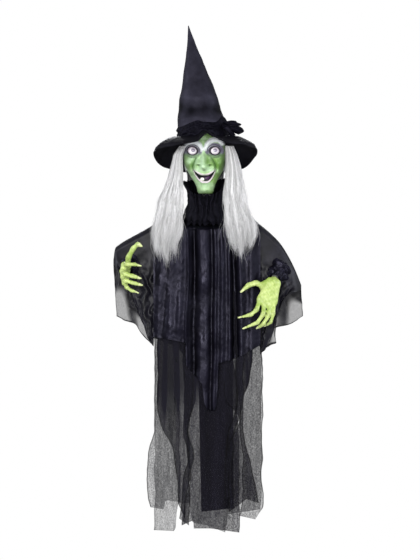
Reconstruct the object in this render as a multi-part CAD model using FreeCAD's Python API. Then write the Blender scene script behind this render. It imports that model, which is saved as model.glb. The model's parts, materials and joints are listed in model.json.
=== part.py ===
"""Hanging animated witch figure: a motorised chest unit that turns the head, two posable arms, a pointed hat, a wig and
black drapery, hung by an eye at the nape.

Millimetres. +Z is up, -Y is the figure's front and +X its own left. The origin is the centre of the hanging eye.
"""
import FreeCAD, Part
import math
import os

Vec = FreeCAD.Vector
AXIS_X, AXIS_Y, AXIS_Z = Vec(1, 0, 0), Vec(0, 1, 0), Vec(0, 0, 1)

# ---- driving dimensions: the figure ----
HAT_TIP_Z = 379.0            # along the hat's own leaning axis
HEM_Z = -628.0
HEAD_TILT = 4.5            # degrees, the head and hat lean to the figure's right
TILT_PIVOT_Z = 60.0
NECK_Y = -45.0             # the neck's axis, in front of the hanging eye

# ---- driving dimensions: fits ----
SEAT_GAP = 0.3             # between parts that sit against each other
RUN_GAP = 0.08             # radial clearance of a shaft in its hole
CLOTH = 3.0                # thickness that stands for one layer of cloth

# ---- driving dimensions: chest unit ----
CHEST_WIDTH = 88.0
CHEST_TOP = -30.0
CHEST_HEIGHT = 140.0
CHEST_FRONT = -85.0
CHEST_REAR = -1.0
WALL = 2.5
CORNER_R = 10.0

# ---- driving dimensions: hanging plate ----
EYE_R = 5.0
STRIP_HALF_WIDTH = 10.0
STRIP_THICKNESS = 2.0
STRIP_FOOT = 60.0          # how far the strip runs down below the eye

# ---- driving dimensions: neck and drive ----
POST_R = 9.0
POST_BORE_R = 5.0
POST_TOP = 92.0
POST_FOOT = -68.0
BEARING_WALL = 3.0
TRAIN_MODULE = 0.6
OUTPUT_MODULE = 0.8
WHEEL_TEETH = 40
PINION_TEETH = 10
SECTOR_TEETH = 60          # the full circle that the sector is cut from
SECTOR_HALF_ANGLE = 42.0
PROFILE_SHIFT = 0.42       # in modules
GEAR_FACE = 4.0
LEVEL_STEP = 6.0           # from one gear stage to the next
AXLE_R = 1.25
MOTOR_R = 12.0
MOTOR_LENGTH = 25.0
MOTOR_SHAFT_R = 1.0

# ---- driving dimensions: battery bay ----
CELL_R = 7.1
CELL_LENGTH = 49.5
CELL_PITCH = 15.5
CELL_COUNT = 3
TRAY_WALL = 1.5

# ---- driving dimensions: head ----
HEAD_HALF_WIDTH = 44.0
SHELL_WALL = 2.4
EYE_BALL_R = 10.0
EYE_SPACING = 44.0
EYE_Z = 127.0
MOUTH_Z = 78.0
HAT_BASE_Z = 154.0
HAT_HALF_WIDTH = 48.5
HAT_HALF_DEPTH = 58.0
HAT_WALL = 2.0
BAND_HEIGHT = 26.0
BRIM_HALF_WIDTH = 106.0
BRIM_HALF_DEPTH = 116.0

# ---- driving dimensions: arms ----
ARM_R = 7.0
JOINT_EYE_R = 9.0
TONGUE = 6.0
PIN_R = 2.0
PEG_R = 4.0
PEG_LENGTH = 12.0
SHOULDER_REACH = 10.0      # from the chest's side to the shoulder joint
SHOULDER = (CHEST_WIDTH / 2 + SHOULDER_REACH, NECK_Y, -46.0)

CHEST_BOTTOM = CHEST_TOP - CHEST_HEIGHT
HALF_CHEST = CHEST_WIDTH / 2
SPLIT_Y = NECK_Y
TRAIN_DISTANCE = TRAIN_MODULE * (WHEEL_TEETH + PINION_TEETH) / 2
OUTPUT_DISTANCE = OUTPUT_MODULE * (SECTOR_TEETH + PINION_TEETH) / 2
SHAFT_B = (OUTPUT_DISTANCE, NECK_Y)
SHAFT_A = (OUTPUT_DISTANCE, NECK_Y - TRAIN_DISTANCE)
SECTOR_TOP = CHEST_TOP - 28.5
SECTOR_FACE = 7.0
LEVEL_3 = SECTOR_TOP - SECTOR_FACE - 7.5     # underside of the wheel on each level
LEVEL_2 = LEVEL_3 - LEVEL_STEP
LEVEL_1 = LEVEL_2 - LEVEL_STEP
BASE_PLATE_TOP = LEVEL_1 - 4.0
TOP_PLATE_BOTTOM = SECTOR_TOP + 3.0
PLATE = 2.0
TRAY_TOP = CHEST_BOTTOM + WALL + 55.0
TRAY_Y = CHEST_REAR - WALL - 16.0
DOOR_THICKNESS = 2.2
DOOR_HINGE_Y = TRAY_Y + 14.0
DOOR_HINGE_Z = CHEST_BOTTOM - 3.2
HINGE_BARREL_R = 2.4
HINGE_PIN_R = 1.0
SWITCH_XY = (-14.0, CHEST_FRONT + 24.0)
SWITCH_TRAVEL = 4.0
BUTTON_XY = (12.0, CHEST_FRONT + 24.0)
BUTTON_R = 5.0
BUTTON_TRAVEL = 1.5
SPEAKER_R = 18.0
SPEAKER_XZ = (-16.0, CHEST_BOTTOM + 34.0)

# Cloth layers, from the chest outwards: waistband, gauze, robe.
BAND_FRONT = CHEST_FRONT - SEAT_GAP - 2.0
GAUZE_FRONT = BAND_FRONT - SEAT_GAP - CLOTH
ROBE_FRONT = GAUZE_FRONT - 2.0 - CLOTH
GAUZE_BACK = CHEST_REAR + SEAT_GAP + 2.0 + SEAT_GAP
ROBE_BACK = GAUZE_BACK + CLOTH + 2.0
WAIST_Z = CHEST_BOTTOM + 8.0

# Wrists, elbows and finger joints, for each side. Each finger runs from its knuckle to its nail.
ARMS = {
    "right": {
        "elbow": (-142.0, -36.0, -84.0),
        "wrist": (-157.0, -98.0, -110.0),
        "sleeve": [(-104, -22), (-132, -29), (-154, -41), (-181, -67), (-185, -100), (-179, -187),
                   (-136, -205), (-122, -232), (-106, -243)],
        "fingers": {
            "thumb": [(-154, -112, -100), (-152, -124, -84), (-142, -134, -67), (-133, -138, -59),
                      (-126, -139, -63)],
            "index": [(-159, -138, -99), (-153, -158, -98), (-139, -164, -98), (-126, -160, -101)],
            "middle": [(-162, -140, -111), (-157, -162, -116), (-141, -167, -121), (-126, -163, -125)],
            "ring": [(-161, -139, -122), (-156, -160, -129), (-140, -165, -134), (-124, -161, -138)],
            "little": [(-158, -136, -133), (-154, -154, -142), (-145, -160, -148), (-131, -156, -153)],
        },
    },
    "left": {
        "elbow": (152.0, -42.0, -92.0),
        "wrist": (131.0, -108.0, -128.0),
        "sleeve": [(104, -22), (122, -30), (146, -53), (164, -80), (179, -112), (189, -148), (193, -168),
                   (177, -207), (140, -219), (130, -243), (106, -243)],
        "fingers": {
            "thumb": [(108, -114, -139), (95, -117, -134), (81, -121, -138), (66, -124, -151)],
            "index": [(103, -126, -165), (96, -136, -185), (85, -134, -195), (61, -124, -201)],
            "middle": [(111, -128, -174), (108, -139, -195), (98, -136, -210), (70, -126, -222)],
            "ring": [(121, -127, -174), (119, -138, -196), (109, -136, -213), (96, -124, -222)],
            "little": [(130, -124, -172), (128, -134, -193), (123, -132, -210), (110, -120, -218)],
        },
    },
}
FINGER_R = {"thumb": 5.0, "index": 4.3, "middle": 4.5, "ring": 4.3, "little": 3.9}

# Front gauze panels: name, left x, right x, left hem z, right hem z.
GAUZE_PANELS = [
    ("gauze_front_right", -108.0, -36.0, -590.0, -545.0),
    ("gauze_front_centre", -34.0, 38.0, HEM_Z, -618.0),
    ("gauze_front_left", 40.0, 109.0, -560.0, -585.0),
]
GAUZE_BACK_HEM = [(108, -590), (72, -574), (30, -622), (-10, -600), (-46, -618), (-84, -608), (-122, -612)]


# ---- helpers ----
def vec(p):
    return Vec(*p)


def box(x0, x1, y0, y1, z0, z1):
    return Part.makeBox(x1 - x0, y1 - y0, z1 - z0, Vec(x0, y0, z0))


def cylinder(r, p, q):
    """Round bar of radius r from p to q."""
    p, q = vec(p), vec(q)
    return Part.makeCylinder(r, (q - p).Length, p, q - p)


def disc(r, thickness, centre, axis):
    """Round plate centred on a point, its axis along a unit vector."""
    return Part.makeCylinder(r, thickness, vec(centre) - axis * (thickness / 2), axis)


def plate(points, y0, thickness):
    """Flat plate from an outline of (x, z) points, from y0 towards +Y."""
    corners = [Vec(x, y0, z) for x, z in points]
    return Part.Face(Part.makePolygon(corners + corners[:1])).extrude(Vec(0, thickness, 0))


def ellipse_wire(cx, cy, z, a, b):
    """Closed elliptical wire in a level plane, with half-widths a along X and b along Y."""
    major, minor, turn = (a, b, 0.0) if a >= b else (b, a, 90.0)
    edge = Part.Ellipse(Vec(0, 0, 0), major, minor).toShape()
    edge.rotate(Vec(0, 0, 0), AXIS_Z, turn)
    edge.translate(Vec(cx, cy, z))
    return Part.Wire(edge)


def loft(sections):
    """Solid through elliptical sections given as (cx, cy, z, a, b)."""
    return Part.makeLoft([ellipse_wire(*s) for s in sections], True, False)


def tilted(shape):
    """The shape leaned with the head, about the top of the neck."""
    shape.rotate(Vec(0, NECK_Y, TILT_PIVOT_Z), AXIS_Y, -HEAD_TILT)
    return shape


def along(p, q, distance):
    """The point that far from p towards q."""
    p, q = vec(p), vec(q)
    return p + (q - p).normalize() * distance


def save(name, *shapes):
    solids = [s for shape in shapes for s in shape.Solids]
    result = solids[0] if len(solids) == 1 else Part.makeCompound(solids)
    result.exportStep("parts/" + name + ".step")


# ---- chest unit ----
def rounded_block(x0, x1, y0, y1, z0, z1, r):
    block = box(x0, x1, y0, y1, z0, z1)
    upright = [e for e in block.Edges if abs(e.tangentAt(e.FirstParameter).z) > 0.9]
    return block.makeFillet(r, upright)


def shoulder_ears(side):
    """Two ears on the chest's flank, with the shoulder pin's hole through both."""
    x, y, z = side * SHOULDER[0], SHOULDER[1], SHOULDER[2]
    x_wall = side * (HALF_CHEST - 1.0)
    ears = []
    for way in (-1, 1):
        y_mid = y + way * (TONGUE / 2 + SEAT_GAP + 2.0)
        ear = disc(JOINT_EYE_R, 4.0, (x, y_mid, z), AXIS_Y)
        web = box(min(x, x_wall), max(x, x_wall), y_mid - 2, y_mid + 2, z - JOINT_EYE_R, z + JOINT_EYE_R)
        ears.append(ear.fuse(web).cut(cylinder(PIN_R, (x, y_mid - 5, z), (x, y_mid + 5, z))))
    return ears


def chest_block(bosses):
    outer = rounded_block(-HALF_CHEST, HALF_CHEST, CHEST_FRONT, CHEST_REAR, CHEST_BOTTOM, CHEST_TOP, CORNER_R)
    inner = rounded_block(-HALF_CHEST + WALL, HALF_CHEST - WALL, CHEST_FRONT + WALL, CHEST_REAR - WALL,
                          CHEST_BOTTOM + WALL, CHEST_TOP - WALL, CORNER_R - WALL)
    return outer.cut(inner).multiFuse([boss.common(outer) for boss in bosses])


def case_screw_spots():
    x = HALF_CHEST - 7.5
    return [(sx * x, z) for sx in (-1, 1) for z in (CHEST_TOP - 8.0, CHEST_BOTTOM + 10.0)]


def strip_screw_spots():
    return [-STRIP_FOOT + 7.0, CHEST_TOP - 8.0]


def chest_shells():
    """Front and rear halves, split on the neck's axis, with screw bosses, ears, bay and vents."""
    far = 300.0
    block = chest_block([cylinder(4.0, (x, CHEST_FRONT + 1, z), (x, CHEST_REAR - 1, z))
                         for x, z in case_screw_spots()])
    cuts = [cylinder(1.5, (x, CHEST_FRONT + 12, z), (x, CHEST_REAR + 1, z)) for x, z in case_screw_spots()]
    cuts += [cylinder(3.0, (x, CHEST_REAR - 4, z), (x, CHEST_REAR + 1, z)) for x, z in case_screw_spots()]
    cuts += [cylinder(1.5, (0, CHEST_REAR - WALL - 1, z), (0, CHEST_REAR + 1, z)) for z in strip_screw_spots()]
    cuts.append(cylinder(POST_R + BEARING_WALL, (0, NECK_Y, CHEST_TOP - 9), (0, NECK_Y, CHEST_TOP + 5)))
    half_bay = CELL_PITCH * (CELL_COUNT - 1) / 2 + CELL_R + 1.0
    cuts.append(box(-half_bay, half_bay, TRAY_Y - CELL_R - 1, TRAY_Y + CELL_R + 1,
                    CHEST_BOTTOM - 1, CHEST_BOTTOM + WALL + 0.5))
    sx, sy = SWITCH_XY
    slot = SWITCH_TRAVEL / 2 + 3.2
    cuts.append(box(sx - slot, sx + slot, sy - 2.3, sy + 2.3, CHEST_BOTTOM - 1, CHEST_BOTTOM + WALL + 0.5))
    bx, by = BUTTON_XY
    cuts.append(cylinder(BUTTON_R + SEAT_GAP, (bx, by, CHEST_BOTTOM - 1), (bx, by, CHEST_BOTTOM + WALL + 0.5)))
    vx, vz = SPEAKER_XZ
    for ring, count in ((0, 1), (6.0, 6), (12.0, 12)):
        for i in range(count):
            a = 2 * math.pi * i / count
            x, z = vx + ring * math.cos(a), vz + ring * math.sin(a)
            cuts.append(cylinder(1.5, (x, CHEST_FRONT - 1, z), (x, CHEST_FRONT + WALL + 0.5, z)))
    block = block.cut(Part.makeCompound(cuts))
    front_half = box(-far, far, CHEST_FRONT - 5, SPLIT_Y, CHEST_BOTTOM - 5, CHEST_TOP + 5)
    rear_half = box(-far, far, SPLIT_Y, CHEST_REAR + 5, CHEST_BOTTOM - 5, CHEST_TOP + 5)
    front, rear = block.common(front_half), block.common(rear_half)
    for side in (-1, 1):
        ears = shoulder_ears(side)
        front, rear = front.fuse(ears[0]), rear.fuse(ears[1])
    for x0, x1 in ((-28.0, -22.0), (22.0, 28.0)):
        ear = disc(HINGE_BARREL_R, x1 - x0, ((x0 + x1) / 2, DOOR_HINGE_Y, DOOR_HINGE_Z), AXIS_X)
        web = box(x0, x1, DOOR_HINGE_Y - 1.2, DOOR_HINGE_Y + 1.2, DOOR_HINGE_Z, CHEST_BOTTOM + 0.5)
        pin_hole = cylinder(HINGE_PIN_R, (x0 - 1, DOOR_HINGE_Y, DOOR_HINGE_Z), (x1 + 1, DOOR_HINGE_Y, DOOR_HINGE_Z))
        rear = rear.fuse(ear.fuse(web).cut(pin_hole))
    save("chest_front_shell", front)
    save("chest_rear_shell", rear)


def screw(r, head_r, tip, head, axis_end):
    """Plain screw: shank from tip to head, then a round head to axis_end."""
    return cylinder(r, tip, head).fuse(cylinder(head_r, head, axis_end))


def case_screws():
    return [screw(1.5, 2.8, (x, SPLIT_Y - 20, z), (x, CHEST_REAR - 4, z), (x, CHEST_REAR - 1.8, z))
            for x, z in case_screw_spots()]


def hanging_plate():
    """Steel strip on the chest's back, with the hanging eye at its top."""
    half = STRIP_THICKNESS / 2
    strip = box(-STRIP_HALF_WIDTH, STRIP_HALF_WIDTH, -half, half, -STRIP_FOOT, 0)
    strip = strip.fuse(disc(STRIP_HALF_WIDTH, STRIP_THICKNESS, (0, 0, 0), AXIS_Y))
    strip = strip.cut(disc(EYE_R, STRIP_THICKNESS + 2, (0, 0, 0), AXIS_Y))
    for z in strip_screw_spots():
        strip = strip.cut(disc(1.5, STRIP_THICKNESS + 2, (0, 0, z), AXIS_Y))
    save("hanging_plate", strip)
    return [screw(1.5, 3.0, (0, CHEST_REAR - WALL, z), (0, half, z), (0, half + 1.6, z))
            for z in strip_screw_spots()]


# ---- gears ----
def involute_gear(teeth, module, face, z0, centre, bore, turn=0.0, backlash=0.06):
    """Spur gear with involute flanks, its underside at z0; turn is the angle of one tooth's centre.

    Pinions are shifted outwards and wheels inwards by the same amount, so a small pinion isn't undercut.
    """
    shift = PROFILE_SHIFT if teeth <= PINION_TEETH else -PROFILE_SHIFT
    pitch_r = module * teeth / 2
    base_r = pitch_r * math.cos(math.radians(20))
    tip_r = pitch_r + (0.9 + shift) * module
    root_r = pitch_r - (1.25 - shift) * module
    half_tooth = (math.pi / 2 + 2 * shift * math.tan(math.radians(20))) / teeth - backlash / (2 * pitch_r)
    half_base = half_tooth + math.tan(math.radians(20)) - math.radians(20)
    start_r = max(base_r, root_r)
    flank = []
    steps = 5
    for i in range(steps + 1):
        r = start_r + (tip_r - start_r) * i / steps
        t = math.sqrt(max(0.0, (r / base_r) ** 2 - 1))
        flank.append((r, max(half_base - (t - math.atan(t)), 0.01)))
    outline = []
    for k in range(teeth):
        middle = 2 * math.pi * k / teeth + math.radians(turn)
        foot = flank[0][1]
        rising = [(root_r, -foot)] + [(r, -a) for r, a in flank]
        falling = [(r, a) for r, a in reversed(flank)] + [(root_r, foot)]
        outline += [Vec(r * math.cos(middle + a), r * math.sin(middle + a), 0) for r, a in rising + falling]
    body = Part.Face(Part.makePolygon(outline + outline[:1])).extrude(Vec(0, 0, face))
    body = body.cut(Part.makeCylinder(bore, face + 2, Vec(0, 0, -1)))
    body.translate(Vec(centre[0], centre[1], z0))
    return body


def half_pitch(teeth):
    return 180.0 / teeth


def compound_gear(centre, level, towards_next, pinion_z1, pinion_module=TRAIN_MODULE, wheel_turn=0.0):
    """Wheel with a pinion above it. towards_next is the direction of the next gear, for the pinion's tooth gap."""
    wheel = involute_gear(WHEEL_TEETH, TRAIN_MODULE, GEAR_FACE, level, centre, AXLE_R + RUN_GAP, wheel_turn)
    z0 = level + GEAR_FACE
    pinion = involute_gear(PINION_TEETH, pinion_module, pinion_z1 - z0, z0, centre, AXLE_R + RUN_GAP,
                           towards_next + half_pitch(PINION_TEETH))
    return wheel.fuse(pinion)


def gear_train():
    """Motor pinion, three compound gears and the neck's sector, in mesh. Shaft B lies +Y of shaft A."""
    from_a_to_b, from_b_to_a = 90.0, 270.0
    motor_gear = involute_gear(PINION_TEETH, TRAIN_MODULE, GEAR_FACE + 1, LEVEL_1 - 0.5, SHAFT_A, 0.5,
                               from_a_to_b + half_pitch(PINION_TEETH))
    rotor = cylinder(MOTOR_SHAFT_R, (*SHAFT_A, BASE_PLATE_TOP - 8), (*SHAFT_A, LEVEL_1 + GEAR_FACE + 0.5))
    save("motor_pinion", motor_gear.fuse(rotor))
    save("gear_1", compound_gear(SHAFT_B, LEVEL_1, from_b_to_a, LEVEL_2 + GEAR_FACE, wheel_turn=from_b_to_a))
    save("gear_2", compound_gear(SHAFT_A, LEVEL_2, from_a_to_b, LEVEL_3 + GEAR_FACE, wheel_turn=from_a_to_b))
    wheel = involute_gear(WHEEL_TEETH, TRAIN_MODULE, GEAR_FACE, LEVEL_3, SHAFT_B, AXLE_R + RUN_GAP, from_b_to_a)
    hub = cylinder(2.6, (*SHAFT_B, LEVEL_3 + GEAR_FACE), (*SHAFT_B, SECTOR_TOP - SECTOR_FACE - 1))
    hub = hub.cut(cylinder(AXLE_R + RUN_GAP, (*SHAFT_B, LEVEL_3), (*SHAFT_B, SECTOR_TOP)))
    output = involute_gear(PINION_TEETH, OUTPUT_MODULE, SECTOR_FACE + 2, SECTOR_TOP - SECTOR_FACE - 1, SHAFT_B,
                           AXLE_R + RUN_GAP, 180.0 + half_pitch(PINION_TEETH))
    save("gear_3", wheel.fuse(hub).fuse(output))
    gear = involute_gear(SECTOR_TEETH, OUTPUT_MODULE, SECTOR_FACE, SECTOR_TOP - SECTOR_FACE, (0, NECK_Y), POST_R, 0.0)
    reach = OUTPUT_MODULE * SECTOR_TEETH
    a = math.radians(SECTOR_HALF_ANGLE)
    wedge = [Vec(0, NECK_Y, 0), Vec(reach * math.cos(a), NECK_Y - reach * math.sin(a), 0), Vec(reach * 1.5, NECK_Y, 0),
             Vec(reach * math.cos(a), NECK_Y + reach * math.sin(a), 0)]
    keep = Part.Face(Part.makePolygon(wedge + wedge[:1])).extrude(Vec(0, 0, SECTOR_FACE))
    keep = keep.fuse(Part.makeCylinder(POST_R + 5, SECTOR_FACE, Vec(0, NECK_Y, 0)))
    keep.translate(Vec(0, 0, SECTOR_TOP - SECTOR_FACE))
    save("sector_gear", gear.common(keep))


def gearbox():
    """Two plates with three spacers, the two axles, and the screws that close it."""
    x0, x1 = SHAFT_B[0] - 14.0, HALF_CHEST - WALL - 1.0
    y0, y1 = SHAFT_A[1] - 17.0, SHAFT_B[1] + 16.0
    spots = [(x1 - 2.5, y0 + 2.5), (x1 - 2.5, y1 - 2.5), (x0 + 2.5, y0 + 2.5)]
    base = box(x0, x1, y0, y1, BASE_PLATE_TOP - PLATE, BASE_PLATE_TOP)
    base = base.multiFuse([cylinder(2.2, (x, y, BASE_PLATE_TOP - 1), (x, y, TOP_PLATE_BOTTOM)) for x, y in spots])
    for x, y in spots:
        base = base.cut(cylinder(0.9, (x, y, TOP_PLATE_BOTTOM - 8), (x, y, TOP_PLATE_BOTTOM + 1)))
    base = base.cut(cylinder(MOTOR_SHAFT_R + 2.2, (*SHAFT_A, BASE_PLATE_TOP - 5), (*SHAFT_A, BASE_PLATE_TOP + 1)))
    base = base.cut(cylinder(AXLE_R, (*SHAFT_B, BASE_PLATE_TOP - 5), (*SHAFT_B, BASE_PLATE_TOP + 1)))
    save("gearbox_base", base)
    top = box(x0, x1, y0, y1, TOP_PLATE_BOTTOM, TOP_PLATE_BOTTOM + PLATE)
    for x, y in spots:
        top = top.cut(cylinder(0.9, (x, y, TOP_PLATE_BOTTOM - 1), (x, y, TOP_PLATE_BOTTOM + 5)))
    for shaft in (SHAFT_A, SHAFT_B):
        top = top.cut(cylinder(AXLE_R, (*shaft, TOP_PLATE_BOTTOM - 1), (*shaft, TOP_PLATE_BOTTOM + 5)))
    save("gearbox_top", top)
    top_z = TOP_PLATE_BOTTOM + PLATE
    save("gear_axles", cylinder(AXLE_R, (*SHAFT_A, LEVEL_2 - 0.5), (*SHAFT_A, top_z)),
         cylinder(AXLE_R, (*SHAFT_B, BASE_PLATE_TOP - PLATE), (*SHAFT_B, top_z)))
    screws = [screw(0.9, 1.8, (x, y, top_z - 8), (x, y, top_z), (x, y, top_z + 1.2)) for x, y in spots]
    can_top = BASE_PLATE_TOP - PLATE
    can = cylinder(MOTOR_R, (*SHAFT_A, can_top - MOTOR_LENGTH), (*SHAFT_A, can_top))
    can = can.fuse(cylinder(3.0, (*SHAFT_A, can_top), (*SHAFT_A, can_top + 1.5)))
    save("motor", can.cut(cylinder(MOTOR_SHAFT_R + RUN_GAP, (*SHAFT_A, can_top - 7), (*SHAFT_A, can_top + 3))))
    return screws


def neck():
    """Hollow post that carries the head, its flanged bearing and the ring that keeps it up."""
    post = cylinder(POST_R, (0, NECK_Y, POST_FOOT), (0, NECK_Y, POST_TOP))
    post = post.fuse(cylinder(20.0, (0, NECK_Y, POST_TOP - 3), (0, NECK_Y, POST_TOP)))
    post = post.cut(cylinder(POST_BORE_R, (0, NECK_Y, POST_FOOT - 1), (0, NECK_Y, POST_TOP + 1)))
    save("neck_post", post)
    sleeve_r = POST_R + BEARING_WALL
    bush = cylinder(sleeve_r, (0, NECK_Y, CHEST_TOP - 9), (0, NECK_Y, CHEST_TOP))
    bush = bush.fuse(cylinder(sleeve_r + 4, (0, NECK_Y, CHEST_TOP), (0, NECK_Y, CHEST_TOP + 2)))
    bush = bush.cut(cylinder(POST_R + RUN_GAP, (0, NECK_Y, CHEST_TOP - 10), (0, NECK_Y, CHEST_TOP + 3)))
    save("neck_bearing", bush)
    rings = []
    for z0 in (CHEST_TOP - 9 - 0.2 - 2.5, CHEST_TOP + 2 + 0.2):
        ring = cylinder(sleeve_r + 1, (0, NECK_Y, z0), (0, NECK_Y, z0 + 2.5))
        rings.append(ring.cut(cylinder(POST_R, (0, NECK_Y, z0 - 1), (0, NECK_Y, z0 + 4))))
    save("neck_retaining_rings", *rings)


# ---- electrics ----
def battery_bay():
    """Tray with three cells side by side, contact springs above them and a hinged door below."""
    half = CELL_PITCH * (CELL_COUNT - 1) / 2 + CELL_R + 1.0
    depth = CELL_R + 1.0
    z0 = CHEST_BOTTOM + WALL + 0.5
    tray = box(-half - TRAY_WALL, half + TRAY_WALL, TRAY_Y - depth - TRAY_WALL, TRAY_Y + depth + TRAY_WALL,
               z0, TRAY_TOP + TRAY_WALL)
    tray = tray.cut(box(-half, half, TRAY_Y - depth, TRAY_Y + depth, z0 - 1, TRAY_TOP))
    save("battery_tray", tray)
    xs = [CELL_PITCH * (i - (CELL_COUNT - 1) / 2) for i in range(CELL_COUNT)]
    cell_z0 = CHEST_BOTTOM + 0.3
    cells, springs = [], []
    for x in xs:
        can = cylinder(CELL_R, (x, TRAY_Y, cell_z0 + 1.0), (x, TRAY_Y, cell_z0 + CELL_LENGTH))
        nub = cylinder(2.7, (x, TRAY_Y, cell_z0), (x, TRAY_Y, cell_z0 + 1.0))
        cells.append(can.fuse(nub))
        height = TRAY_TOP - (cell_z0 + CELL_LENGTH) - 1.6
        helix = Part.makeHelix(height / 3, height, 3.5)
        profile = Part.Wire(Part.Circle(Vec(3.5, 0, 0), AXIS_Y, 0.4).toShape())
        spring = Part.Wire(helix).makePipeShell([profile], True, True)
        spring.translate(Vec(x, TRAY_Y, cell_z0 + CELL_LENGTH + 0.8))
        springs.append(spring)
    save("battery_cells", *cells)
    save("contact_springs", *springs)
    door_half = 21.5
    top = CHEST_BOTTOM - SEAT_GAP
    door = box(-half - 2, half + 2, TRAY_Y - depth - 5, DOOR_HINGE_Y - 4, top - DOOR_THICKNESS, top)
    barrel = disc(HINGE_BARREL_R, 2 * door_half, (0, DOOR_HINGE_Y, DOOR_HINGE_Z), AXIS_X)
    arm = box(-door_half, door_half, DOOR_HINGE_Y - 5, DOOR_HINGE_Y, DOOR_HINGE_Z - 1, DOOR_HINGE_Z + 1)
    bore = cylinder(HINGE_PIN_R + RUN_GAP, (-40, DOOR_HINGE_Y, DOOR_HINGE_Z), (40, DOOR_HINGE_Y, DOOR_HINGE_Z))
    catch = box(-5, 5, TRAY_Y - depth - 7, TRAY_Y - depth - 4, top - DOOR_THICKNESS - 1.5, top)
    save("battery_door", door.fuse(arm.fuse(barrel).cut(bore)).fuse(catch))
    save("battery_door_pin", cylinder(HINGE_PIN_R, (-28, DOOR_HINGE_Y, DOOR_HINGE_Z), (28, DOOR_HINGE_Y, DOOR_HINGE_Z)))


def switch_and_button():
    sx, sy = SWITCH_XY
    inner = CHEST_BOTTOM + WALL
    half = SWITCH_TRAVEL / 2 + 3.0
    body = box(sx - half - 4, sx + half + 4, sy - 4, sy + 4, inner + 1.5, inner + 8)
    body = body.cut(box(sx - half - 0.2, sx + half + 0.2, sy - 2.2, sy + 2.2, inner, inner + 4))
    x0 = sx - SWITCH_TRAVEL / 2
    save("switch_knob", box(x0 - 2.8, x0 + 2.8, sy - 2, sy + 2, CHEST_BOTTOM - 2.5, inner + 3.8))
    bx, by = BUTTON_XY
    cap = cylinder(BUTTON_R, (bx, by, CHEST_BOTTOM - 2.5), (bx, by, inner + 1.0))
    rim = cylinder(BUTTON_R + 1.5, (bx, by, inner + 0.2), (bx, by, inner + 1.4))
    save("demo_button", cap.fuse(rim).fuse(cylinder(1.5, (bx, by, inner + 1), (bx, by, inner + 3))))
    z = inner + 3.0 + BUTTON_TRAVEL + 0.3
    save("switches", body, box(bx - 4, bx + 4, by - 4, by + 4, z, z + 4))


def sound_unit():
    """Speaker behind the vents, and the circuit board with its parts."""
    vx, vz = SPEAKER_XZ
    y = CHEST_FRONT + WALL + 0.2
    frame = cylinder(SPEAKER_R, (vx, y, vz), (vx, y + 5, vz))
    frame = frame.cut(cylinder(SPEAKER_R - 2, (vx, y - 1, vz), (vx, y + 3.5, vz)))
    frame = frame.cut(cylinder(8.6, (vx, y, vz), (vx, y + 6, vz)))
    dish = Part.makeCone(5.0, SPEAKER_R - 1.8, 2.6, Vec(vx, y + 3.4, vz), Vec(0, -1, 0))
    dish = dish.cut(Part.makeCone(4.0, SPEAKER_R - 3.0, 2.6, Vec(vx, y + 2.8, vz), Vec(0, -1, 0)))
    save("speaker", frame.fuse(dish).fuse(cylinder(8.8, (vx, y + 3.3, vz), (vx, y + 10, vz))))
    x = -HALF_CHEST + WALL + 3.0
    z0, z1 = CHEST_BOTTOM + 55.0, CHEST_TOP - 24.0
    board = box(x, x + 1.6, CHEST_FRONT + 12, CHEST_REAR - 15, z0, z1)
    chip = box(x + 1.6, x + 4.0, NECK_Y - 8, NECK_Y + 8, z0 + 25, z0 + 37)
    driver = box(x + 1.6, x + 3.8, NECK_Y - 25, NECK_Y - 17, z0 + 10, z0 + 20)
    capacitor = cylinder(4.0, (x + 1.6, NECK_Y + 18, z0 + 14), (x + 11.0, NECK_Y + 18, z0 + 14))
    save("circuit_board", board.multiFuse([chip, driver, capacitor]))


# ---- head ----
# Level sections of the head: height, half-width, middle in Y and half-depth.
HEAD_SECTIONS = [(42, 15, -88, 13), (58, 24, -80, 24), (76, 34, -69, 39), (96, 41, -59, 50),
                 (128, HEAD_HALF_WIDTH, -55, 55), (152, 38, -55, 50), (172, 24, -54, 34)]


def head_solid(offset):
    """The head's outer form, moved inwards by offset."""
    sections = []
    for i, (z, a, y, b) in enumerate(HEAD_SECTIONS):
        inward = offset if i == 0 else -offset if i == len(HEAD_SECTIONS) - 1 else 0
        sections.append((0, y, z + inward, a - offset, b - offset))
    return loft(sections)


def eye_centre(side):
    return (side * EYE_SPACING / 2, -96.0, EYE_Z)


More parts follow.
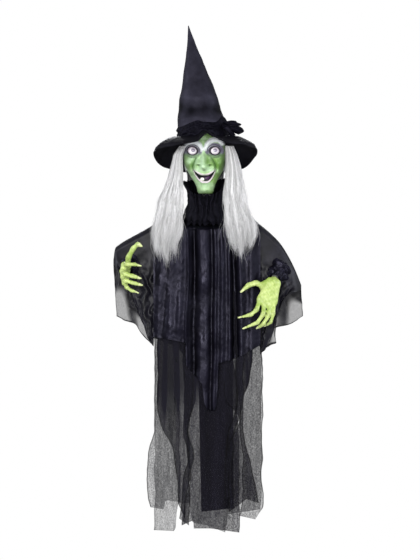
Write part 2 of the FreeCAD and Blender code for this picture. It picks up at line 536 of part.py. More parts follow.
def head_parts():
    shell = head_solid(0).cut(head_solid(SHELL_WALL))
    cuts = []
    for side in (-1, 1):
        x, y, z = eye_centre(side)
        cuts.append(cylinder(EYE_BALL_R + SEAT_GAP, (x, y - 30, z), (x, y + 8, z)))
    mouth = Part.Wire(Part.Ellipse(Vec(0, 0, 0), 19.0, 7.0).toShape())
    mouth.rotate(Vec(0, 0, 0), AXIS_X, 90)
    mouth.translate(Vec(0, -80, MOUTH_Z))
    cuts.append(Part.Face(mouth).extrude(Vec(0, -50, 0)))
    bridge = Part.makeCone(4.6, 6.4, 30, Vec(0, -104, 124), Vec(0, -0.55, -0.84))
    nose = bridge.fuse(Part.makeSphere(8.2, Vec(0, -120.3, 98.8)))
    front_half = box(-80, 80, -200, -52, 0, 220)
    rear_half = box(-80, 80, -52, 60, 0, 220)
    neck_hole = cylinder(POST_R + 0.5, (0, NECK_Y, 20), (0, NECK_Y, POST_TOP - 4))
    face = shell.common(front_half).fuse(nose.cut(head_solid(SHELL_WALL)))
    save("face_shell", tilted(face.cut(Part.makeCompound(cuts))).cut(neck_hole))
    shelf = box(-60, 60, -51.5, 20, POST_TOP, POST_TOP + 2.5).common(tilted(head_solid(SHELL_WALL - 0.5)))
    save("head_rear_shell", tilted(shell.common(rear_half)).cut(neck_hole).fuse(shelf))
    balls, lamps = [], []
    for side in (-1, 1):
        x, y, z = eye_centre(side)
        ball = Part.makeSphere(EYE_BALL_R, vec((x, y, z))).cut(Part.makeSphere(EYE_BALL_R - 1.5, vec((x, y, z))))
        balls.append(tilted(ball.cut(box(x - 20, x + 20, y + 4, y + 20, z - 20, z + 20))))
        lamp = cylinder(2.5, (x, y + 9, z), (x, y + 2, z)).fuse(Part.makeSphere(2.5, vec((x, y + 2, z))))
        lamps.append(tilted(lamp.fuse(cylinder(3.0, (x, y + 8, z), (x, y + 9, z)))))
    save("eyes", *balls)
    save("eye_lamps", *lamps)
    liner = box(-22, 22, -98.0, -96.5, MOUTH_Z - 9, MOUTH_Z + 9)
    save("mouth_liner", tilted(liner.common(head_solid(SHELL_WALL + SEAT_GAP))))
    save("tooth", tilted(rounded_block(-7.5, -1.0, -102.0, -98.0, MOUTH_Z - 4.2, MOUTH_Z + 2.5, 1.2)))


# ---- wig ----
WIG_SECTIONS = {
    "left_hair": [(46, -62, 138, 4.5, 24), (53, -68, 102, 9, 24), (54, -90, 72, 15, 12),
                  (56, -103, 35, 19, 8), (64, -113, -15, 29, 9), (67, -114, -55, 24, 8), (66, -113, -84, 8, 6)],
    "right_hair": [(-58, -62, 138, 4.5, 24), (-59, -68, 102, 9, 24), (-63, -88, 72, 15, 12),
                   (-71, -103, 30, 23, 8), (-78, -113, -18, 28, 9), (-85, -114, -60, 23, 8), (-80, -113, -98, 8, 6)],
}


def wig():
    for name, sections in WIG_SECTIONS.items():
        save(name, loft(sections))
    back = [(0, 9, 130, 34, 4), (0, 14, 100, 38, 5), (0, 16, 60, 40, 5), (0, 17, 22, 30, 3)]
    save("back_hair", loft(back))


# ---- hat ----
HAT_Y = -55.0
HAT_TIP_UPRIGHT = (-14.0, -50.0, HAT_TIP_Z)


def crown_section(z, offset):
    """Elliptical section of the crown at height z, grown by offset."""
    share = (z - HAT_BASE_Z) / (HAT_TIP_UPRIGHT[2] - HAT_BASE_Z)
    cx = HAT_TIP_UPRIGHT[0] * share
    cy = HAT_Y + (HAT_TIP_UPRIGHT[1] - HAT_Y) * share
    slim = 1 - share
    return (cx, cy, z, HAT_HALF_WIDTH * slim + offset, HAT_HALF_DEPTH * slim + offset)


def brim_edge(a, b, outer):
    """Closed curve of the brim: level at the front, low at the sides, lowest at the back."""
    points = []
    count = 24
    for i in range(count):
        t = 2 * math.pi * i / count
        droop = (26 + 4 * math.cos(t) + 30 * math.sin(t)) if outer else 0.0
        points.append(Vec(a * math.cos(t), HAT_Y + b * math.sin(t), HAT_BASE_Z - 1.5 - droop))
    curve = Part.BSplineCurve()
    curve.interpolate(points, PeriodicFlag=True)
    return curve.toShape()


def hat():
    outer = Part.makeLoft([ellipse_wire(*crown_section(HAT_BASE_Z, 0)), ellipse_wire(*crown_section(HAT_TIP_Z - 3, 0))],
                          True, True)
    inner = Part.makeLoft([ellipse_wire(*crown_section(HAT_BASE_Z - 0.01, -HAT_WALL)),
                           ellipse_wire(*crown_section(HAT_TIP_Z - 60, -HAT_WALL))], True, True)
    save("hat_crown", tilted(outer.cut(inner)))
    inner_edge = brim_edge(HAT_HALF_WIDTH, HAT_HALF_DEPTH, False)
    outer_edge = brim_edge(BRIM_HALF_WIDTH, BRIM_HALF_DEPTH, True)
    sheet = Part.makeRuledSurface(inner_edge, outer_edge)
    save("hat_brim", tilted(sheet.extrude(Vec(0, 0, -HAT_WALL))))
    z0, z1 = HAT_BASE_Z + 1.0, HAT_BASE_Z + 1.0 + BAND_HEIGHT
    ring = Part.makeLoft([ellipse_wire(*crown_section(z, SEAT_GAP + CLOTH)) for z in (z0, z1)], True, True)
    ring = ring.cut(Part.makeLoft([ellipse_wire(*crown_section(z, SEAT_GAP)) for z in (z0 - 1, z1 + 1)], True, True))
    save("hat_band", tilted(ring))
    cx, cy, cz = 47.0, HAT_Y - 39.0, HAT_BASE_Z + 20.0
    knot = box(cx - 5, cx + 5, cy - 6, cy + 4, cz - 6, cz + 6)
    loops = []
    for way in (-1, 1):
        corners = [(cx + way * 5, cz - 4), (cx + way * 26, cz - 12), (cx + way * 26, cz + 12), (cx + way * 5, cz + 4)]
        loops.append(plate(corners, cy - 5, 8.0))
    bow = knot.multiFuse(loops)
    bow.rotate(vec((cx, cy, cz)), AXIS_Z, 42)
    bow.rotate(vec((cx, cy, cz)), AXIS_Y, 16)
    bow.translate(Vec(8, -6, 0))
    save("hat_bow", tilted(bow))


# ---- arms ----
def finger(points, radius):
    """Tapered finger through its joints, as one closed solid."""
    pts = [vec(p) for p in points]
    rings = []
    for i, p in enumerate(pts):
        before = p - pts[max(i - 1, 0)]
        after = pts[min(i + 1, len(pts) - 1)] - p
        direction = (before.normalize() if before.Length else before) + (after.normalize() if after.Length else after)
        r = radius * (1 - 0.55 * (i / (len(pts) - 1)) ** 2)
        rings.append(Part.Wire(Part.Circle(p, direction.normalize(), r).toShape()))
    return Part.makeLoft(rings, True, True)


def hand(side, data):
    """Palm and five fingers, with a bore that turns on the forearm's peg."""
    wrist, elbow = vec(data["wrist"]), vec(data["elbow"])
    reach = (wrist - elbow).normalize()
    start = wrist + reach * SEAT_GAP
    fingers = data["fingers"]
    roots = {name: vec(points[0]) for name, points in fingers.items()}
    knuckles = [roots[n] for n in ("index", "middle", "ring", "little")]
    middle = (knuckles[1] + knuckles[2]) * 0.5
    across = (knuckles[3] - knuckles[0]).normalize()
    cuff = Part.makeCylinder(8.5, PEG_LENGTH + 3, start, reach)
    down = (middle - wrist).normalize()
    normal = down.cross(across).normalize()
    span = (knuckles[3] - knuckles[0]).Length / 2
    centre = (knuckles[0] + knuckles[3]) * 0.5

    def frame_at(point, half_width, half_depth):
        corners = [point + across * (half_width * u) + normal * (half_depth * v)
                   for u, v in ((-1, -0.6), (-0.6, -1), (0.6, -1), (1, -0.6), (1, 0.6), (0.6, 1), (-0.6, 1), (-1, 0.6))]
        return Part.makePolygon(corners + corners[:1])

    near = wrist + reach * 7 + down * 2
    palm = Part.makeLoft([frame_at(near, 10.5, 8.0), frame_at((near + centre) * 0.5, span + 4.0, 8.5),
                          frame_at(centre + down * 3, span + 4.0, 6.0)], True, True)
    whole = palm.fuse(cuff)
    for name, points in fingers.items():
        root = roots[name] + (near - roots[name]) * 0.25
        whole = whole.fuse(finger([tuple(root)] + points, FINGER_R[name]))
    whole = whole.cut(Part.makeCylinder(40.0, 30.0, start, reach * -1))
    return whole.cut(Part.makeCylinder(PEG_R + RUN_GAP, PEG_LENGTH + 0.5, wrist - reach * 0.1, reach))


def arm(name, side):
    data = ARMS[name]
    shoulder = Vec(side * SHOULDER[0], SHOULDER[1], SHOULDER[2])
    elbow, wrist = vec(data["elbow"]), vec(data["wrist"])
    y_half = TONGUE / 2 + SEAT_GAP + 4.0
    pin = cylinder(PIN_R, (shoulder.x, shoulder.y - y_half, shoulder.z), (shoulder.x, shoulder.y + y_half, shoulder.z))
    start = along(shoulder, elbow, 16.0)
    stop = along(elbow, shoulder, 15.0)
    eye = disc(JOINT_EYE_R - 1, TONGUE, shoulder, AXIS_Y)
    web = cylinder(TONGUE / 2 - 0.8, shoulder, start)
    upper = eye.fuse(web).fuse(cylinder(ARM_R, start, stop))
    fork_z = TONGUE / 2 + SEAT_GAP
    for way in (-1, 1):
        z_mid = elbow.z + way * (fork_z + 1.75)
        ear = disc(JOINT_EYE_R, 3.5, (elbow.x, elbow.y, z_mid), AXIS_Z)
        x_end = elbow.x - side * 17.0
        ear = ear.fuse(box(min(elbow.x, x_end), max(elbow.x, x_end), elbow.y - 6, elbow.y + 6,
                           z_mid - 1.75, z_mid + 1.75))
        upper = upper.fuse(ear)
    upper = upper.fuse(box(min(elbow.x - side * 17, elbow.x - side * 12), max(elbow.x - side * 17, elbow.x - side * 12),
                           elbow.y - 6, elbow.y + 6, elbow.z - fork_z - 3.5, elbow.z + fork_z + 3.5))
    upper = upper.cut(cylinder(PIN_R + RUN_GAP, (shoulder.x, shoulder.y - 5, shoulder.z),
                               (shoulder.x, shoulder.y + 5, shoulder.z)))
    upper = upper.cut(cylinder(PIN_R, (elbow.x, elbow.y, elbow.z - 12), (elbow.x, elbow.y, elbow.z + 12)))
    save(name + "_upper_arm", upper)
    half_pin = fork_z + 3.5
    save(name + "_elbow_pin", cylinder(PIN_R, (elbow.x, elbow.y, elbow.z - half_pin),
                                       (elbow.x, elbow.y, elbow.z + half_pin)))
    reach = (wrist - elbow).normalize()
    level = Vec(reach.x, reach.y, 0).normalize()
    tongue_end = elbow + level * 22.0
    tongue = disc(JOINT_EYE_R - 1, TONGUE, elbow, AXIS_Z)
    bar = Part.makeBox(22.0, 10.0, TONGUE, Vec(0, -5, -TONGUE / 2))
    bar.rotate(Vec(0, 0, 0), AXIS_Z, math.degrees(math.atan2(level.y, level.x)))
    bar.translate(elbow)
    bar_end = tongue_end - Vec(0, 0, 2)
    fore = tongue.fuse(bar).fuse(cylinder(ARM_R, bar_end, along(wrist, bar_end, 2.0)))
    fore = fore.cut(cylinder(PIN_R + RUN_GAP, (elbow.x, elbow.y, elbow.z - 8), (elbow.x, elbow.y, elbow.z + 8)))
    save(name + "_forearm", fore.fuse(Part.makeCylinder(PEG_R, PEG_LENGTH + 4, wrist - reach * 5, reach)))
    near, far = along(wrist, bar_end, 30.0), along(wrist, bar_end, 2.5)
    cuff = cylinder(ARM_R + 6.0, near, far).cut(cylinder(ARM_R + 1.5, along(wrist, bar_end, 32.0), wrist))
    save(name + "_cuff", cuff)
    save(name + "_hand", hand(side, data))
    return pin


def sleeve(name):
    """Batwing sleeve: a roof over the arm with a long flap behind it and a short one in front."""
    outline = ARMS[name]["sleeve"]
    y_back, y_front = -12.0, -72.0
    back = plate(outline, y_back, CLOTH)
    crest = outline[:4]
    roof_points = crest + [(x, z - CLOTH) for x, z in reversed(crest)]
    roof = plate(roof_points, y_front, y_back - y_front)
    front = plate(crest + [(x, min(z, crest[0][1]) - 16) for x, z in reversed(crest)], y_front, CLOTH)
    save(name + "_sleeve", back.fuse(roof).fuse(front))


# ---- drapery ----
def collar():
    """Standing collar, low under the chin and high at the sides and back, open where the hanging plate passes."""
    cy = -66.0
    ring = loft([(0, cy, -16, 50, 46), (0, cy, 15, 46, 44), (0, cy, 66, 50, 50)])
    ring = ring.cut(loft([(0, cy, -17, 47, 43), (0, cy, 15, 43, 41), (0, cy, 67, 47, 47)]))
    corners = [(-120, 30), (-78, 48), (-50, 62), (0, 64), (0, 120), (-120, 120)]
    low = [Vec(-80, y, z) for y, z in corners]
    above = Part.Face(Part.makePolygon(low + low[:1])).extrude(Vec(160, 0, 0))
    save("collar", ring.cut(above))


def robe():
    """Tunic: a pointed front panel and a back panel joined by a yoke over the shoulders, with the neck open."""
    top = -17.0
    tip_z = -386.0
    front = [(-102, top), (102, top), (102, -236), (52, -292), (22, -368), (8, tip_z), (-6, tip_z),
             (-18, -368), (-50, -288), (-102, -250)]
    back = [(-102, top), (102, top), (102, -245), (0, -330), (-102, -245)]
    cloth = plate(front, ROBE_FRONT, CLOTH).fuse(plate(back, ROBE_BACK, CLOTH))
    cloth = cloth.fuse(box(-100, 100, ROBE_FRONT, ROBE_BACK + CLOTH, top - CLOTH, top))
    notch = STRIP_HALF_WIDTH + 4
    cloth = cloth.cut(cylinder(POST_R + 6, (0, NECK_Y, top - 10), (0, NECK_Y, top + 5)))
    save("robe", cloth.cut(box(-notch, notch, -STRIP_THICKNESS - 2, ROBE_BACK, top - 10, top + 5)))


def skirt():
    """Elastic waistband round the chest unit, a lining, and gauze panels with uneven hems."""
    z1 = WAIST_Z
    band = rounded_block(-HALF_CHEST - SEAT_GAP - 2, HALF_CHEST + SEAT_GAP + 2, BAND_FRONT,
                         CHEST_REAR + SEAT_GAP + 2, z1, z1 + 14, CORNER_R + SEAT_GAP + 2)
    hole = rounded_block(-HALF_CHEST - SEAT_GAP, HALF_CHEST + SEAT_GAP, CHEST_FRONT - SEAT_GAP,
                         CHEST_REAR + SEAT_GAP, z1 - 1, z1 + 15, CORNER_R + SEAT_GAP)
    save("waistband", band.cut(hole))
    top = z1 + 12.0
    for name, x0, x1, left_hem, right_hem in GAUZE_PANELS:
        save(name, plate([(x0, top), (x1, top), (x1, right_hem), (x0, left_hem)], GAUZE_FRONT, CLOTH))
    save("gauze_back", plate([(-122, top), (108, top)] + GAUZE_BACK_HEM, GAUZE_BACK, CLOTH))
    low = CHEST_BOTTOM - SEAT_GAP
    save("skirt_lining", plate([(-30, low), (50, low), (54, -585), (-26, -585)], CHEST_FRONT + 10, CLOTH))


def main():
    os.makedirs("parts", exist_ok=True)
    chest_shells()
    gear_train()
    save("chassis_screws", *case_screws(), *hanging_plate(), *gearbox())
    neck()
    battery_bay()
    switch_and_button()
    sound_unit()
    head_parts()
    wig()
    hat()
    save("shoulder_pins", arm("left", 1), arm("right", -1))
    sleeve("left")
    sleeve("right")
    collar()
    robe()
    skirt()


main()
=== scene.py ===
"""Looks of the hanging witch figure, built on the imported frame. Lengths in the tables below are millimetres."""
import json
import math
import bpy
import numpy as np
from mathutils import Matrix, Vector


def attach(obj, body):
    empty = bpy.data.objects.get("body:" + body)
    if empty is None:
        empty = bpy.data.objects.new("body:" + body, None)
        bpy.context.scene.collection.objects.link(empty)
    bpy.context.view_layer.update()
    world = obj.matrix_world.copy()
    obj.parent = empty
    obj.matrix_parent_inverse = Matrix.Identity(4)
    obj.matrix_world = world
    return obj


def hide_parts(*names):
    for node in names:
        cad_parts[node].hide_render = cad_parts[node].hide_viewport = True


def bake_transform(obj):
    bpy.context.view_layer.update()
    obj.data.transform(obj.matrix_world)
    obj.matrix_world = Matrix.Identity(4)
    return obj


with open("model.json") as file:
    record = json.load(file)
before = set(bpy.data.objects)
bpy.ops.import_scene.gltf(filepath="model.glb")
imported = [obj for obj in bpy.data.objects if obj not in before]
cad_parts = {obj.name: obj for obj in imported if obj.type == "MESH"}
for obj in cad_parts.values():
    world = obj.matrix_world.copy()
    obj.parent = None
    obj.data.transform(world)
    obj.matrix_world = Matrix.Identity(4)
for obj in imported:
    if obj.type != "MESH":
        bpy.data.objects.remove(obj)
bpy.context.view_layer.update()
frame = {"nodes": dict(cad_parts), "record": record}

K = 0.001                                       # metres in a millimetre
VIEW_X, VIEW_Y, VIEW_Z = 6.0, -3560.0, -128.0   # the camera, level with the figure's middle
LENS, SENSOR = 114.1, 36                        # its focal length and the width of its sensor
PLANE_Y = -60.0                                 # the depth at which sizes were taken
HEAD_Y = -55                                    # depth of the upright line through head and hat
HEAD_DEPTH = 1.16                               # the head's depth over its width
HEAD_X = -3                                     # the head hangs a little off the middle
BRIM_X_R, BRIM_Y_R = 103.5, 108                 # the brim's outer edge from above
TORSO_Y = -45                                   # depth of the upright line through the chest
COLLAR_Y = -64                                  # the same through the collar
FLOOR_X, FLOOR_Y, FLOOR_Z = (-600, 600), (-600, 540), -800.0
WORLD_LIGHT = 0.22                              # how strongly the white surroundings light it


# ---------------------------------------------------------------- numbers
def lerp(x, pairs):
    """Straight-line table lookup."""
    return np.interp(x, [p[0] for p in pairs], [p[1] for p in pairs])


def curve(x, pairs):
    """Smooth monotone table lookup."""
    xs = np.array([p[0] for p in pairs], float)
    ys = np.array([p[1] for p in pairs], float)
    x = np.clip(np.asarray(x, float), xs[0], xs[-1])
    d = np.diff(ys) / np.diff(xs)
    m = np.concatenate([[d[0]], np.where(d[1:] * d[:-1] > 0, 2 * d[1:] * d[:-1] / (d[1:] + d[:-1] + 1e-12), 0),
                        [d[-1]]])
    i = np.clip(np.searchsorted(xs, x, side="right") - 1, 0, len(xs) - 2)
    h = xs[i + 1] - xs[i]
    t = (x - xs[i]) / h
    return ((2 * t**3 - 3 * t**2 + 1) * ys[i] + (t**3 - 2 * t**2 + t) * h * m[i]
            + (-2 * t**3 + 3 * t**2) * ys[i + 1] + (t**3 - t**2) * h * m[i + 1])


def column(n, high=1):
    """n even steps from 0 to high, down the rows of a grid."""
    return np.linspace(0, high, n)[:, None]


def row(n, low=0):
    """n even steps from low to 1, along the columns of a grid."""
    return np.linspace(low, 1, n)[None, :]


def circle(n):
    """n even angles once round, along the columns of a grid."""
    return np.linspace(0, 2 * math.pi, n, endpoint=False)[None, :]


def bump(x, centre, width, power=2):
    """1 at the centre, fading to 0 on both sides."""
    return np.exp(-((x - centre) / width) ** power)


def spot(x, z, at_x, wide, at_z, tall):
    """1 at a point, fading to 0 all round it."""
    return np.exp(-((x - at_x) / wide) ** 2 - ((z - at_z) / tall) ** 2)


def turn_bump(t, centre, width):
    """A bump on a circle. t is in radians, the centre and the width in degrees."""
    return bump((np.degrees(t) - centre + 180) % 360 - 180, 0, width)


def step(x, a, b):
    """0 at a and 1 at b, with soft ends."""
    t = np.clip((x - a) / (b - a), 0, 1)
    return t * t * (3 - 2 * t)


def ripple(seed, size, octaves=3, dims=2):
    """Smooth seeded noise about -1..1 as a function of points in mm."""
    rng = np.random.default_rng(seed)
    waves = []
    for o in range(octaves):
        for _ in range(7):
            k = rng.normal(size=dims)
            k *= 2 * math.pi / (size / 2**o) / np.linalg.norm(k) * rng.uniform(0.7, 1.3)
            waves.append((k, rng.uniform(0, 2 * math.pi), 0.5**o / 3.2))

    def f(*axes):
        return sum(a * np.sin(sum(k[i] * axes[i] for i in range(dims)) + p) for k, p, a in waves)
    return f


def seen(x, y, z):
    """The point at depth y that shows where (x, z) at PLANE_Y would."""
    s = (y - VIEW_Y) / (PLANE_Y - VIEW_Y)
    return np.stack(np.broadcast_arrays(VIEW_X + (x - VIEW_X) * s, y, VIEW_Z + (z - VIEW_Z) * s), -1)


def unit(v):
    return v / np.linalg.norm(v)


def srgb(r, g, b):
    """A linear colour from one given in 0 to 255 as a screen shows it."""
    c = np.array([r, g, b], float) / 255
    return np.where(c <= 0.04045, c / 12.92, ((c + 0.055) / 1.055) ** 2.4)


def layers(base, *coats):
    """Lays coats over the base in turn, each a colour and an amount from 0 to 1 for each point."""
    for colour, amount in coats:
        base = base + (colour - base) * np.clip(amount, 0, 1)[..., None]
    return base


def grey(shade, low=0.1, alpha=None):
    """The painted attribute's greys from a shade for each point, with an alpha where one is given."""
    rgb = np.repeat(np.clip(shade, low, 1)[..., None], 3, -1)
    return rgb if alpha is None else np.concatenate([rgb, alpha[..., None]], -1)


# ---------------------------------------------------------------- meshes
def set_paint(me, paint):
    """Stores a colour, or a colour and an alpha, for each vertex."""
    paint = np.clip(np.asarray(paint, float).reshape(len(me.vertices), -1), 0, 1)
    if paint.shape[1] == 3:
        paint = np.hstack([paint, np.ones((len(paint), 1))])
    a = me.color_attributes.new("paint", "FLOAT_COLOR", "POINT")
    a.data.foreach_set("color", paint.astype(np.float32).ravel())


def vectors(me, what):
    """The place or the normal of each vertex."""
    out = np.empty(len(me.vertices) * 3)
    me.vertices.foreach_get(what, out)
    return out.reshape(-1, 3)


def mesh(name, verts, faces, mat, paint=None):
    """A mesh object from vertices in mm, with an optional colour per vertex."""
    me = bpy.data.meshes.new(name)
    verts = np.asarray(verts, float).reshape(-1, 3) * K
    me.from_pydata(verts.tolist(), [], faces.tolist() if isinstance(faces, np.ndarray) else faces)
    me.update()
    me.shade_smooth()
    if paint is not None:
        set_paint(me, paint)
    ob = bpy.data.objects.new(name, me)
    bpy.context.scene.collection.objects.link(ob)
    if mat:
        me.materials.append(mat)
    return ob


def grid_faces(rows, cols, wrap=False):
    i, j = np.meshgrid(np.arange(rows - 1), np.arange(cols if wrap else cols - 1), indexing="ij")
    k = (j + 1) % cols
    return np.stack([i * cols + j, i * cols + k, (i + 1) * cols + k, (i + 1) * cols + j], -1).reshape(-1, 4)


def join(name, parts, mat):
    """One mesh of several parts, each its points, its faces numbered from 0 and its paint."""
    starts = np.cumsum([0] + [len(part[0]) for part in parts])
    points, faces, paint = zip(*parts)
    return mesh(name, np.concatenate(points), np.concatenate([f + n for f, n in zip(faces, starts)]), mat,
                np.concatenate(paint))


def thicken(ob, thickness, offset):
    m = ob.modifiers.new("thickness", "SOLIDIFY")
    m.thickness, m.offset = thickness * K, offset


def grid(name, points, mat, paint=None, wrap=False):
    rows, cols = points.shape[:2]
    return mesh(name, points.reshape(-1, 3), grid_faces(rows, cols, wrap), mat,
                None if paint is None else paint.reshape(rows * cols, -1))


# ---------------------------------------------------------------- materials
class Nodes:
    """A small helper that builds one node material."""

    def __init__(self, name, **principled):
        self.mat = bpy.data.materials.new(name)
        self.mat.use_nodes = True
        self.tree = self.mat.node_tree
        self.tree.nodes.clear()
        self.out = self.new("OutputMaterial")
        self.bsdf = self.new("BsdfPrincipled")
        self.link(self.bsdf.outputs[0], self.out.inputs[0])
        for key, value in principled.items():
            self.bsdf.inputs[key.replace("_", " ")].default_value = value
        self.coords = self.new("TexCoord").outputs["Object"]

    def new(self, kind):
        return self.tree.nodes.new("ShaderNode" + kind)

    def link(self, a, b):
        self.tree.links.new(a, b)

    def scaled(self, sx, sy, sz):
        m = self.new("Mapping")
        m.inputs["Scale"].default_value = (sx, sy, sz)
        self.link(self.coords, m.inputs[0])
        return m.outputs[0]

    def noise(self, scale, detail=3.0, rough=0.5, vector=None):
        n = self.new("TexNoise")
        n.inputs["Scale"].default_value = scale
        n.inputs["Detail"].default_value = detail
        n.inputs["Roughness"].default_value = rough
        self.link(vector or self.coords, n.inputs["Vector"])
        return n.outputs["Fac"]

    def twill(self, scale, distortion):
        n = self.new("TexWave")
        n.bands_direction = "DIAGONAL"
        n.inputs["Scale"].default_value = scale
        n.inputs["Distortion"].default_value = distortion
        self.link(self.coords, n.inputs["Vector"])
        return n.outputs["Fac"]

    def ramp(self, fac, *stops):
        r = self.new("ValToRGB")
        while len(r.color_ramp.elements) < len(stops):
            r.color_ramp.elements.new(0.5)
        for e, (pos, col) in zip(r.color_ramp.elements, stops):
            e.position = pos
            e.color = (*col, 1) if hasattr(col, "__len__") else (col, col, col, 1)
        self.link(fac, r.inputs[0])
        return r.outputs[0]

    def tones(self, fac, colour, low, high, at=(0.3, 0.7)):
        """From a darker to a lighter tone of one colour."""
        return self.ramp(fac, *((pos, [c * k for c in colour]) for pos, k in zip(at, (low, high))))

    def math(self, op, a, b):
        m = self.new("Math")
        m.operation = op
        for i, v in enumerate((a, b)):
            if isinstance(v, (int, float)):
                m.inputs[i].default_value = v
            else:
                self.link(v, m.inputs[i])
        return m.outputs[0]

    def paint(self, channel="Color"):
        a = self.new("Attribute")
        a.attribute_name = "paint"
        return a.outputs[channel]

    def bump(self, height, strength, distance):
        b = self.new("Bump")
        b.inputs["Strength"].default_value = strength
        b.inputs["Distance"].default_value = distance
        self.link(height, b.inputs["Height"])
        self.link(b.outputs[0], self.bsdf.inputs["Normal"])
        return self

    def colour(self, socket):
        self.link(socket, self.bsdf.inputs["Base Color"])
        return self

    def rough(self, socket):
        self.link(socket, self.bsdf.inputs["Roughness"])
        return self

    def alpha(self, socket):
        self.link(socket, self.bsdf.inputs["Alpha"])
        return self

    def times_paint(self, socket):
        """Base colour: the painted attribute times a tone."""
        m = self.new("Mix")
        m.data_type = "RGBA"
        m.blend_type = "MULTIPLY"
        m.inputs["Factor"].default_value = 1
        a, b = (i for i in m.inputs if i.type == "RGBA")
        self.link(socket, a)
        self.link(self.paint(), b)
        return self.colour(next(o for o in m.outputs if o.type == "RGBA"))

    def open_weave(self, threads):
        """Alpha of the threads, and solid where the painted alpha nears 1. At 0.5 it adds nothing."""
        return self.alpha(self.math("MAXIMUM", threads, self.ramp(self.paint("Alpha"), (0.5, 0.0), (1.0, 1.0))))


def painted(name, rough=0.45, coat=0.0):
    """Moulded skin in the colours painted on the mesh, with airbrush mottling and pores."""
    n = Nodes(name, Roughness=rough, Coat_Weight=coat, Coat_Roughness=0.25)
    blotch = n.ramp(n.noise(160, 4, 0.6), (0.3, 0.86), (0.7, 1.08))
    n.times_paint(blotch)
    n.rough(n.ramp(n.noise(240, 3), (0.3, rough - 0.08), (0.7, rough + 0.12)))
    return n.bump(n.noise(900, 4, 0.6), 0.25, 0.0006).mat


def satin(name, tint, rough, weave=1800.0, gloss=0.3, crease=0.0016):
    """Black satin: the painted attribute lightens it, and a fine twill breaks the sheen."""
    n = Nodes(name, Roughness=rough, Specular_IOR_Level=gloss)
    n.bsdf.inputs["Specular Tint"].default_value = (0.74, 0.72, 1.0, 1)
    n.times_paint(n.tones(n.noise(45, 4, 0.6), tint, 0.65, 1.5, (0.25, 0.75)))
    n.rough(n.ramp(n.noise(60, 3), (0.3, rough - 0.07), (0.7, rough + 0.12)))
    crumple = n.noise(110, 5, 0.55)
    twill = n.math("MULTIPLY", n.twill(weave / 6, 0.6), 0.04)
    return n.bump(n.math("ADD", crumple, twill), 0.35, crease).mat


def sheer(name, tint, low, high):
    """Organza: see-through between its threads. The attribute's alpha makes hems and double layers solid."""
    n = Nodes(name, Roughness=0.5, Specular_IOR_Level=0.3)
    n.times_paint(n.tones(n.noise(60, 3), tint, 0.7, 1.3))
    n.open_weave(n.ramp(n.noise(1300, 2, 0.5), (0.35, low), (0.65, high)))
    return n.bump(n.noise(90, 4), 0.35, 0.0015).mat


def gauze_mat(name, tint, low, high, seed):
    """Crinkled gauze: an open, uneven weave that reads as dark speckle over what is behind it."""
    n = Nodes(name, Roughness=0.85, Specular_IOR_Level=0.15)
    m = n.new("Mapping")
    m.inputs["Location"].default_value = (seed * 0.37, seed * 0.11, seed * 0.23)
    m.inputs["Scale"].default_value = (1, 1, 0.45)
    n.link(n.coords, m.inputs[0])
    fine = n.noise(820, 2, 0.6, m.outputs[0])
    coarse = n.noise(1, 3, 0.6, n.scaled(150, 150, 14))
    both = n.math("ADD", n.math("MULTIPLY", fine, 0.72), n.math("MULTIPLY", coarse, 0.28))
    n.times_paint(n.tones(fine, tint, 0.6, 1.6))
    n.open_weave(n.ramp(both, (0.38, low), (0.60, high)))
    return n.bump(fine, 0.5, 0.001).mat


def metal(name, colour, rough):
    n = Nodes(name, Metallic=1.0)
    n.colour(n.tones(n.noise(300, 3), colour, 0.8, 1))
    n.rough(n.ramp(n.noise(1, 4, 0.6, n.scaled(900, 900, 60)), (0.3, rough - 0.1), (0.7, rough + 0.12)))
    return n.bump(n.noise(1, 4, 0.6, n.scaled(1500, 1500, 90)), 0.15, 0.0003).mat


def plastic(name, colour, rough):
    n = Nodes(name)
    n.colour(n.tones(n.noise(120, 4), colour, 0.85, 1.1))
    n.rough(n.ramp(n.noise(90, 3), (0.3, rough - 0.06), (0.7, rough + 0.08)))
    return n.bump(n.noise(1600, 2), 0.2, 0.0003).mat


